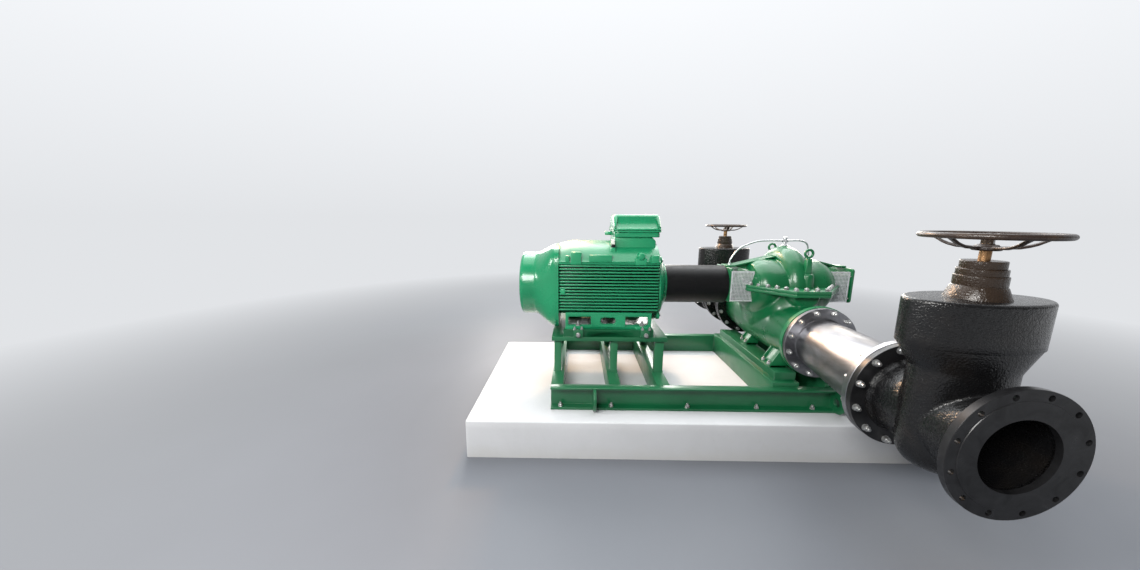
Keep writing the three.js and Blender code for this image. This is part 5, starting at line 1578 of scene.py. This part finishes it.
def make_valve_body(name, open_end, m, sizes):
    v = VALVE
    axis = Vector((m["axis"].x, m["middle_y"], m["axis"].z))
    drum_low = m["drum_low"] - axis.z - 0.0003
    cone_foot = drum_low - v["cone"]
    levels = []
    for angle in quarter(12)[:-1]:
        share = max(math.sin(angle) ** 0.72, 0.05)
        levels.append(
            (v["column_x"] * share, v["column_y"] * share, v["bowl_z"] - v["bowl"] * math.cos(angle)))
    rise = cone_foot - v["bowl_z"]
    levels += [(v["column_x"], v["column_y"], v["bowl_z"] + rise * k / 8) for k in range(9)]
    cone_rim = (m["drum_x"] - 0.004, m["drum_y"] - 0.004)
    levels += [(
        v["column_x"] + (cone_rim[0] - v["column_x"]) * k / 5,
        v["column_y"] + (cone_rim[1] - v["column_y"]) * k / 5,
        cone_foot + v["cone"] * k / 5) for k in range(1, 6)]
    levels += [(*cone_rim, drum_low + 0.008), (*cone_rim, drum_low + 0.016)]
    column = lofted([oval(x, y, z, axis) for x, y, z in levels], 96)
    half, inner = m["half"], m["half"] - v["flange_depth"]
    neck = turned([
        (0, -inner - 0.010), (v["neck"] + v["flare"], -inner - 0.010), (v["neck"] + v["flare"], -inner),
        (v["neck"], -inner + v["taper"]), (v["neck"], inner - v["taper"]), (v["neck"] + v["flare"], inner),
        (v["neck"] + v["flare"], inner + 0.010), (0, inner + 0.010)], "y", axis, 96)
    body = halved(fused([column, neck], sizes.cast_voxel * 1.3, 8), axis.z + drum_low, False)
    bore = rod(v["bore"], -half - 0.02, half + 0.02, "y", axis, 96)
    body = carved(body, bore)
    made_piece(
        f"{name}_valve_casting", body, "black", replaces=[f"{name}_valve_body"], sharp=50)
    discs = []
    for side in SIDES:
        rim, face, raised = side * inner, side * half, side * (half - 0.003)
        disc = turned([
            (v["bore"], rim), (v["flange"] - 0.002, rim), (v["flange"], rim + side * 0.002),
            (v["flange"], raised - side * 0.002), (v["flange"] - 0.002, raised),
            (0.252, raised), (0.250, face),
            (v["bore"], face), (v["bore"], rim)], "y", axis, 96)
        if side == open_end:
            holes = []
            for k in range(BOLT_CIRCLE["count"]):
                angle = FULL_TURN * (k + 0.5) / BOLT_CIRCLE["count"]
                spot = axis + Vector(
                    (math.cos(angle) * BOLT_CIRCLE["radius"], 0, math.sin(angle) * BOLT_CIRCLE["radius"]))
                low, high = sorted((rim - side * 0.01, face + side * 0.01))
                holes.append(rod(BOLT_CIRCLE["hole"], low, high, "y", spot, 20))
            disc = carved(disc, *holes)
        discs.append(disc)
    FINISHES[f"{name}_face"] = machined(f"{name}_flange_face", (axis.x, 0, axis.z))
    made_piece(f"{name}_valve_flanges", gathered(*discs), f"{name}_face", slot="cast_black")
    gate = turned([
        (0, -v["wedge"]), (v["bore"] - 0.012, -v["wedge"]), (v["bore"] - 0.0005, -v["wedge"] + 0.010),
        (v["bore"] - 0.0005, v["wedge"] - 0.010), (v["bore"] - 0.012, v["wedge"]), (0, v["wedge"])],
        "y", m["axis"], 96)
    ribs = [block(
        m["axis"] + Vector((-0.140 + 0.03 * abs(k), -v["wedge"] - 0.008, k * 0.055 - 0.008)),
        m["axis"] + Vector((0.140 - 0.03 * abs(k), v["wedge"] + 0.008, k * 0.055 + 0.008)),
        0.004) for k in (-1, 0, 1)]
    made_piece(f"{name}_gate", gathered(gate, *ribs), "black", replaces=[f"{name}_valve_wedge"])


def make_valve_bonnet(name, m):
    v = VALVE
    centre = Vector((m["axis"].x, m["middle_y"], 0))
    low, high = m["drum_low"], m["drum_high"]
    foot, crown = 0.004, 0.016
    wide, deep = m["drum_x"], m["drum_y"]
    levels = [(wide - 0.003, deep - 0.003, low), (wide, deep, low + foot)]
    for k in range(1, 6):
        levels.append((wide, deep, low + foot + (high - crown - low - foot) * k / 6))
    for angle in quarter(7):
        inset = crown * (1 - math.cos(angle))
        levels.append((wide - inset, deep - inset, high - crown + crown * math.sin(angle)))
    drum = lofted([oval(x, y, z, centre) for x, y, z in levels], 128)
    made_piece(f"{name}_bonnet_drum", drum, "black", replaces=[f"{name}_valve_bonnet"], sharp=40)
    base, top, radius = high, m["neck_high"], m["neck_radius"]
    profile = [(0, base), (radius, base), (radius - 0.001, base + 0.004)]
    rise = top - base
    shares = list(GLAND_STEPS)
    foot_share, foot_height = shares[0]
    profile.append((radius * (foot_share + 0.005), base + rise * foot_height - 0.006))
    previous = foot_height
    for share, height in shares[1:]:
        r = radius * share
        profile += [
            (r - 0.001, base + rise * previous), (r, base + rise * previous + 0.003),
            (r, base + rise * height - 0.003),
            (r - 0.002, base + rise * height)]
        previous = height
    bore = v["stem"] + 0.0007
    profile += [(bore, top), (bore, top - 0.061), (0, top - 0.061)]
    neck = turned(profile, "z", centre, 96)
    made_piece(f"{name}_gland_neck", neck, "gland", replaces=[f"{name}_valve_neck"], sharp=28)
    low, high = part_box(f"{name}_valve_stem")
    stem = turned([
        (0, low.z), (v["stem"], low.z), (v["stem"], high.z - 0.003),
        (v["stem"] - 0.003, high.z), (0, high.z)],
        "z", centre, 40)
    made_piece(
        f"{name}_stem_bar", stem, "stem", body=f"{name}_wheel", replaces=[f"{name}_valve_stem"])


def make_handwheel(name, m):
    w = WHEEL
    radius = m["wheel_radius"] - w["tube"]
    rim = turned([
        (radius + w["tube"] * math.cos(a), w["tube"] * math.sin(a))
        for a in [FULL_TURN * k / 16 for k in range(16)] + [0]], steps=128)
    hub_low = -w["hub_drop"]
    hub = turned([
        (0.0208, hub_low), (w["hub"] - 0.004, hub_low), (w["hub"], hub_low + 0.004),
        (w["hub"], hub_low + 0.012),
        (w["hub"] * 0.80, hub_low + 0.018), (w["hub"] * 0.74, hub_low + w["hub_height"]),
        (0.0208, hub_low + w["hub_height"]), (0.0208, hub_low)], steps=64)
    line = [(0.030, hub_low + 0.012)] + [(radius * share, drop) for share, drop in SPOKE_LINE]
    half = w["spoke_half_height"]
    outline = [(x, z - half) for x, z in line] + [(x, z + half) for x, z in reversed(line)]
    spokes = []
    for k in range(w["spokes"]):
        spoke = extruded(outline, "y", -w["spoke_half_width"], w["spoke_half_width"], 0.004, 2)
        spokes.append(moved(spoke, Matrix.Rotation(w["first_spoke"] + FULL_TURN * k / w["spokes"], 4, "Z")))
    cast = fused([rim, hub, *spokes], 0.0036, 3)
    place = Matrix.Translation((m["axis"].x, m["middle_y"], m["wheel_z"]))
    made_piece(
        f"{name}_wheel_casting", moved(cast, place), "wheel", body=f"{name}_wheel",
        replaces=[f"{name}_handwheel"], sharp=60)
    top = m["wheel_z"] + hub_low + w["hub_height"]
    lock = moved(nut(0.040, stud=0.5), Matrix.Translation((m["axis"].x, m["middle_y"], top)))
    made_piece(f"{name}_wheel_nut", lock, "gland", body=f"{name}_wheel", slot="wheel_brown")


# Stage


def make_world(studio):
    """A pale surround, brighter overhead than at the horizon, that lights the set mostly from behind."""
    world = bpy.data.worlds.new("studio")
    world.use_nodes = True
    nodes, links = world.node_tree.nodes, world.node_tree.links

    def range_of(value, low, high, out_low, out_high):
        node = nodes.new("ShaderNodeMapRange")
        for key, setting in (
                ("Value", value), ("From Min", low), ("From Max", high), ("To Min", out_low),
                ("To Max", out_high)):
            if isinstance(setting, bpy.types.NodeSocket):
                links.new(setting, node.inputs[key])
            else:
                node.inputs[key].default_value = setting
        return node.outputs["Result"]

    heading = nodes.new("ShaderNodeSeparateXYZ")
    links.new(nodes.new("ShaderNodeTexCoord").outputs["Generated"], heading.inputs["Vector"])
    seen = range_of(heading.outputs["Z"], 0.0, 0.85, studio.horizon, studio.zenith)
    lit = nodes.new("ShaderNodeMath")
    lit.operation = "MULTIPLY"
    links.new(seen, lit.inputs[0])
    links.new(range_of(heading.outputs["Y"], -0.4, 0.5, studio.front, studio.back), lit.inputs[1])
    straight = nodes.new("ShaderNodeLightPath").outputs["Is Camera Ray"]
    ground = nodes["Background"]
    ground.inputs["Color"].default_value = (*studio.sky, 1.0)
    links.new(range_of(straight, 0.0, 1.0, lit.outputs[0], seen), ground.inputs["Strength"])
    bpy.context.scene.world = world


def make_stage(studio):
    bm = bmesh.new()
    bmesh.ops.create_circle(bm, cap_ends=True, segments=96, radius=studio.floor_radius)
    mesh = bpy.data.meshes.new("floor")
    bm.to_mesh(mesh)
    bm.free()
    mesh.materials.append(FINISHES["floor"])
    floor = bpy.data.objects.new("floor", mesh)
    bpy.context.scene.collection.objects.link(floor)
    lights = (
        ("left_window", (-4.5, -2.0, 2.4), (-1.3, -0.3, 1.2), (0.55, 0.8), studio.key, (1.0, 0.99, 0.97)),
        ("front_window", (-2.0, -3.9, 3.15), (-1.0, -0.6, 1.2), (1.1, 1.5), studio.key * 2.2,
            (1.0, 0.99, 0.97)),
        ("valve_window", (-2.8, -3.2, 3.0), (0.5, -1.6, 1.3), (0.45, 0.45), studio.key, (1.0, 0.97, 0.92)),
        ("skylight_strip", (-0.4, 1.75, 4.1), (-0.4, 0.0, 1.2), (4.4, 0.9), studio.strip, (0.96, 0.99, 1.0)),
        ("low_sun", (-1.4, 2.6, 3.4), (0.7, -1.6, 1.6), (0.5, 0.5), studio.warm, (1.0, 0.60, 0.32)),
        ("overhead_panel", (0.2, 1.0, 4.6), (0.1, 0.0, 0.8), (6.0, 4.2), studio.overhead, (0.97, 0.99, 1.0)),
        ("window_left", (-2.6, 5.2, 3.0), (-0.6, 0.0, 1.1), (1.3, 2.8), studio.window, (1.0, 0.97, 0.92)),
        ("window_middle", (0.6, 5.4, 3.0), (0.4, 0.0, 1.1), (1.3, 2.8), studio.window, (1.0, 0.97, 0.92)),
        ("window_right", (3.8, 4.4, 3.0), (0.8, -0.5, 1.1), (1.3, 2.8), studio.window, (1.0, 0.93, 0.82)),
    )
    for name, place, target, size, power, colour in lights:
        lamp = bpy.data.lights.new(name, "AREA")
        lamp.shape = "RECTANGLE"
        lamp.size, lamp.size_y = size
        lamp.energy = power
        lamp.color = colour
        holder = bpy.data.objects.new(name, lamp)
        holder.location = place
        holder.rotation_mode = "QUATERNION"
        holder.rotation_quaternion = (Vector(target) - Vector(place)).to_track_quat("-Z", "Y")
        bpy.context.scene.collection.objects.link(holder)
    make_world(studio)
    scene = bpy.context.scene
    scene.view_settings.view_transform = "Standard"
    scene.view_settings.exposure = studio.exposure
    c = CAMERA
    level = Matrix((
        (1, 0, 0), (0, -math.sin(c["pitch"]), -math.cos(c["pitch"])),
        (0, math.cos(c["pitch"]), -math.sin(c["pitch"]))))
    looks = Matrix.Rotation(c["roll"], 3, "Z") @ level @ Matrix.Rotation(c["yaw"], 3, "Z")
    right, down, forward = (looks[k].copy() for k in range(3))
    camera = bpy.data.cameras.new("photo_view")
    camera.sensor_width = c["sensor"]
    camera.lens = c["focal"] / c["width"] * c["sensor"]
    camera.clip_start, camera.clip_end = 0.05, 200
    holder = bpy.data.objects.new("photo_view", camera)
    turn = Matrix((right, -down, -forward)).transposed()
    holder.matrix_world = Matrix.Translation(c["place"]) @ turn.to_4x4()
    bpy.context.scene.collection.objects.link(holder)
    bpy.context.scene.camera = holder


# Settings, operators and panel


def tint(label, about, value):
    """A colour setting."""
    return FloatVectorProperty(
        name=label, description=about, subtype="COLOR", size=3, min=0, max=1, default=value)


class PumpSetPaint(PropertyGroup):
    motor: tint("Motor", "Enamel of the motor", (0.007, 0.225, 0.095))
    motor_shade: tint("Motor shade", "Darker tone in the motor's enamel", (0.005, 0.180, 0.074))
    pump: tint("Pump", "Enamel of the pump's castings", (0.003, 0.135, 0.045))
    pump_shade: tint("Pump shade", "Darker tone in the pump's enamel", (0.002, 0.100, 0.032))
    frame: tint("Frame", "Enamel of the base frame", (0.004, 0.105, 0.038))
    frame_shade: tint("Frame shade", "Darker tone in the frame's enamel", (0.003, 0.078, 0.028))
    black: tint("Valve black", "Paint of the valves", (0.0055, 0.0055, 0.006))
    # The warm tone in the valves' black is a painted reflection of warm light.
    black_warm_reflection: tint("Valve brown", "Brown that shows in the black", (0.016, 0.012, 0.009))
    gland: tint("Gland", "Neck and stem of the valves", (0.026, 0.016, 0.010))
    # Laid into the necks and handwheels as a painted reflection of warm light; also the darker spangles of
    # the stems.
    gland_warm: tint("Gland bronze", "Worn bronze tone", (0.130, 0.074, 0.036))
    wheel: tint("Handwheel", "Dark brown of the handwheels", (0.026, 0.016, 0.012))
    steel: tint("Steel", "Brushed steel of the front spool", (0.36, 0.36, 0.38))
    steel_dark: tint("Steel shade", "Darker clouds in the steel", (0.16, 0.16, 0.17))
    zinc: tint("Zinc", "Galvanised sheet and tubes", (0.66, 0.68, 0.70))
    zinc_dark: tint("Zinc shade", "Darker spangles", (0.38, 0.39, 0.41))
    bolt: tint("Nuts and bolts", "Zinc of the nuts and bolts", (0.46, 0.46, 0.45))
    stem: tint("Stem", "Bronze of the valve stems", (0.34, 0.19, 0.09))
    guard: tint("Guard", "Matt black of the coupling guard", (0.0045, 0.0045, 0.005))
    concrete: tint("Concrete", "Painted concrete of the plinth", (0.58, 0.59, 0.61))
    stain: tint("Stain", "Marks on the concrete", (0.52, 0.52, 0.51))
    floor: tint("Floor", "Floor of the stage", (0.145, 0.155, 0.175))


class PumpSetSizes(PropertyGroup):
    anchor: FloatProperty(name="Anchor nut", description="Width across flats", default=0.030, unit="LENGTH")
    foot: FloatProperty(name="Foot nut", description="Width across flats", default=0.034, unit="LENGTH")
    jack: FloatProperty(name="Jack screw", description="Width across flats", default=0.030, unit="LENGTH")
    split: FloatProperty(
        name="Split flange nut", description="Width across flats", default=0.032, unit="LENGTH")
    flange: FloatProperty(
        name="Pipe flange nut", description="Width across flats", default=0.033, unit="LENGTH")
    cast_voxel: FloatProperty(
        name="Casting detail", description="Cell of the cast forms", default=0.005, min=0.003, unit="LENGTH")


class PumpSetStudio(PropertyGroup):
    key: FloatProperty(
        name="Left windows", description="Power of each left window", default=60.0, unit="POWER")
    overhead: FloatProperty(
        name="Overhead", description="Power of the overhead panel", default=200.0, unit="POWER")
    window: FloatProperty(name="Windows", description="Power of each rear window",
        default=120.0, unit="POWER")
    strip: FloatProperty(
        name="Skylight", description="Power of the skylight strip", default=60.0, unit="POWER")
    warm: FloatProperty(
        name="Low sun", description="Power of the warm light from behind", default=120.0, unit="POWER")
    front: FloatProperty(
        name="Front share", description="Share of the surround's light from the front", default=0.18)
    back: FloatProperty(
        name="Back share", description="Share of the surround's light from behind", default=1.0)
    sky: tint("Surround", "Colour of the surround", (0.95, 0.97, 1.0))
    horizon: FloatProperty(name="Horizon", description="Light of the surround at the horizon", default=0.80)
    zenith: FloatProperty(name="Zenith", description="Light of the surround overhead", default=1.20)
    exposure: FloatProperty(name="Exposure", description="Exposure in stops", default=0.0)
    floor_radius: FloatProperty(name="Floor", description="Radius of the floor", default=60.0, unit="LENGTH")


class PUMPSET_OT_stage(Operator):
    """Makes the materials, floor, lights and camera"""

    bl_idname = "pumpset.stage"
    bl_label = "Stage"

    def execute(self, context):
        scene = context.scene
        make_finishes(scene.pumpset_paint, scene.pumpset_studio)
        make_stage(scene.pumpset_studio)
        return {"FINISHED"}


class PUMPSET_OT_base(Operator):
    """Makes the plinth, the base frame and its anchor bolts"""

    bl_idname = "pumpset.base"
    bl_label = "Plinth and base frame"

    def execute(self, context):
        make_plinth()
        make_steelwork()
        make_anchor_bolts(context.scene.pumpset_sizes)
        return {"FINISHED"}


class PUMPSET_OT_motor(Operator):
    """Makes the motor with its cowl, shield, feet and terminal box"""

    bl_idname = "pumpset.motor"
    bl_label = "Motor"

    def execute(self, context):
        make_motor_housing()
        make_fan_cowl()
        make_end_shield()
        make_terminal_box()
        make_cable_gland()
        make_motor_feet(context.scene.pumpset_sizes)
        make_sensor_peg()
        return {"FINISHED"}


class PUMPSET_OT_coupling(Operator):
    """Makes the coupling guard and the shaft in it"""

    bl_idname = "pumpset.coupling"
    bl_label = "Coupling"

    def execute(self, context):
        make_coupling_guard()
        return {"FINISHED"}


class PUMPSET_OT_casing(Operator):
    """Makes the two halves of the pump's casing and their bolts"""

    bl_idname = "pumpset.casing"
    bl_label = "Pump casing"

    def execute(self, context):
        sizes = context.scene.pumpset_sizes
        make_upper_casing(sizes)
        bolts = make_lower_casing(sizes)
        make_split_bolts(sizes)
        made_piece("pump_foot_nuts", repeated(nut(sizes.foot * 0.8, stud=0.8), bolts), "bolt")
        return {"FINISHED"}


class PUMPSET_OT_bearings(Operator):
    """Makes the bearing yokes, perforated sheets, lifting eyes and flush tubes"""

    bl_idname = "pumpset.bearings"
    bl_label = "Bearings and piping"

    def execute(self, context):
        make_bearing_brackets()
        make_guard_sheets()
        make_lifting_eyes()
        make_flush_piping()
        return {"FINISHED"}


class PUMPSET_OT_spools(Operator):
    """Makes the spools, the loose flange and the flange bolts"""

    bl_idname = "pumpset.spools"
    bl_label = "Spools"

    def execute(self, context):
        make_spools(context.scene.pumpset_sizes)
        return {"FINISHED"}


class PUMPSET_OT_valves(Operator):
    """Makes both gate valves with their handwheels"""

    bl_idname = "pumpset.valves"
    bl_label = "Gate valves"

    def execute(self, context):
        for name, open_end in (("front", -1), ("rear", 1)):
            measures = valve_measures(name)
            make_valve_body(name, open_end, measures, context.scene.pumpset_sizes)
            make_valve_bonnet(name, measures)
            make_handwheel(name, measures)
        return {"FINISHED"}


OPERATORS = (
    PUMPSET_OT_stage, PUMPSET_OT_base, PUMPSET_OT_motor, PUMPSET_OT_coupling, PUMPSET_OT_casing,
    PUMPSET_OT_bearings, PUMPSET_OT_spools, PUMPSET_OT_valves)
SETTINGS = {"pumpset_paint": PumpSetPaint, "pumpset_sizes": PumpSetSizes, "pumpset_studio": PumpSetStudio}


class PUMPSET_PT_panel(Panel):
    """Lists the steps and the settings of the pump set"""

    bl_idname = "PUMPSET_PT_panel"
    bl_label = "Pump set"
    bl_space_type = "VIEW_3D"
    bl_region_type = "UI"
    bl_category = "Pump set"

    def draw(self, context):
        for operator in OPERATORS:
            self.layout.operator(operator.bl_idname)
        for key, group in SETTINGS.items():
            column = self.layout.column()
            for field in group.__annotations__:
                column.prop(getattr(context.scene, key), field)


def register():
    for group in SETTINGS.values():
        bpy.utils.register_class(group)
    for key, group in SETTINGS.items():
        setattr(bpy.types.Scene, key, PointerProperty(type=group))
    for operator in OPERATORS:
        bpy.utils.register_class(operator)
    bpy.utils.register_class(PUMPSET_PT_panel)


def unregister():
    bpy.utils.unregister_class(PUMPSET_PT_panel)
    for operator in reversed(OPERATORS):
        bpy.utils.unregister_class(operator)
    for key in SETTINGS:
        delattr(bpy.types.Scene, key)
    for group in SETTINGS.values():
        bpy.utils.unregister_class(group)


def main():
    register()
    for operator in OPERATORS:
        space, step = operator.bl_idname.split(".")
        getattr(getattr(bpy.ops, space), step)()


if __name__ == "__main__":
    main()
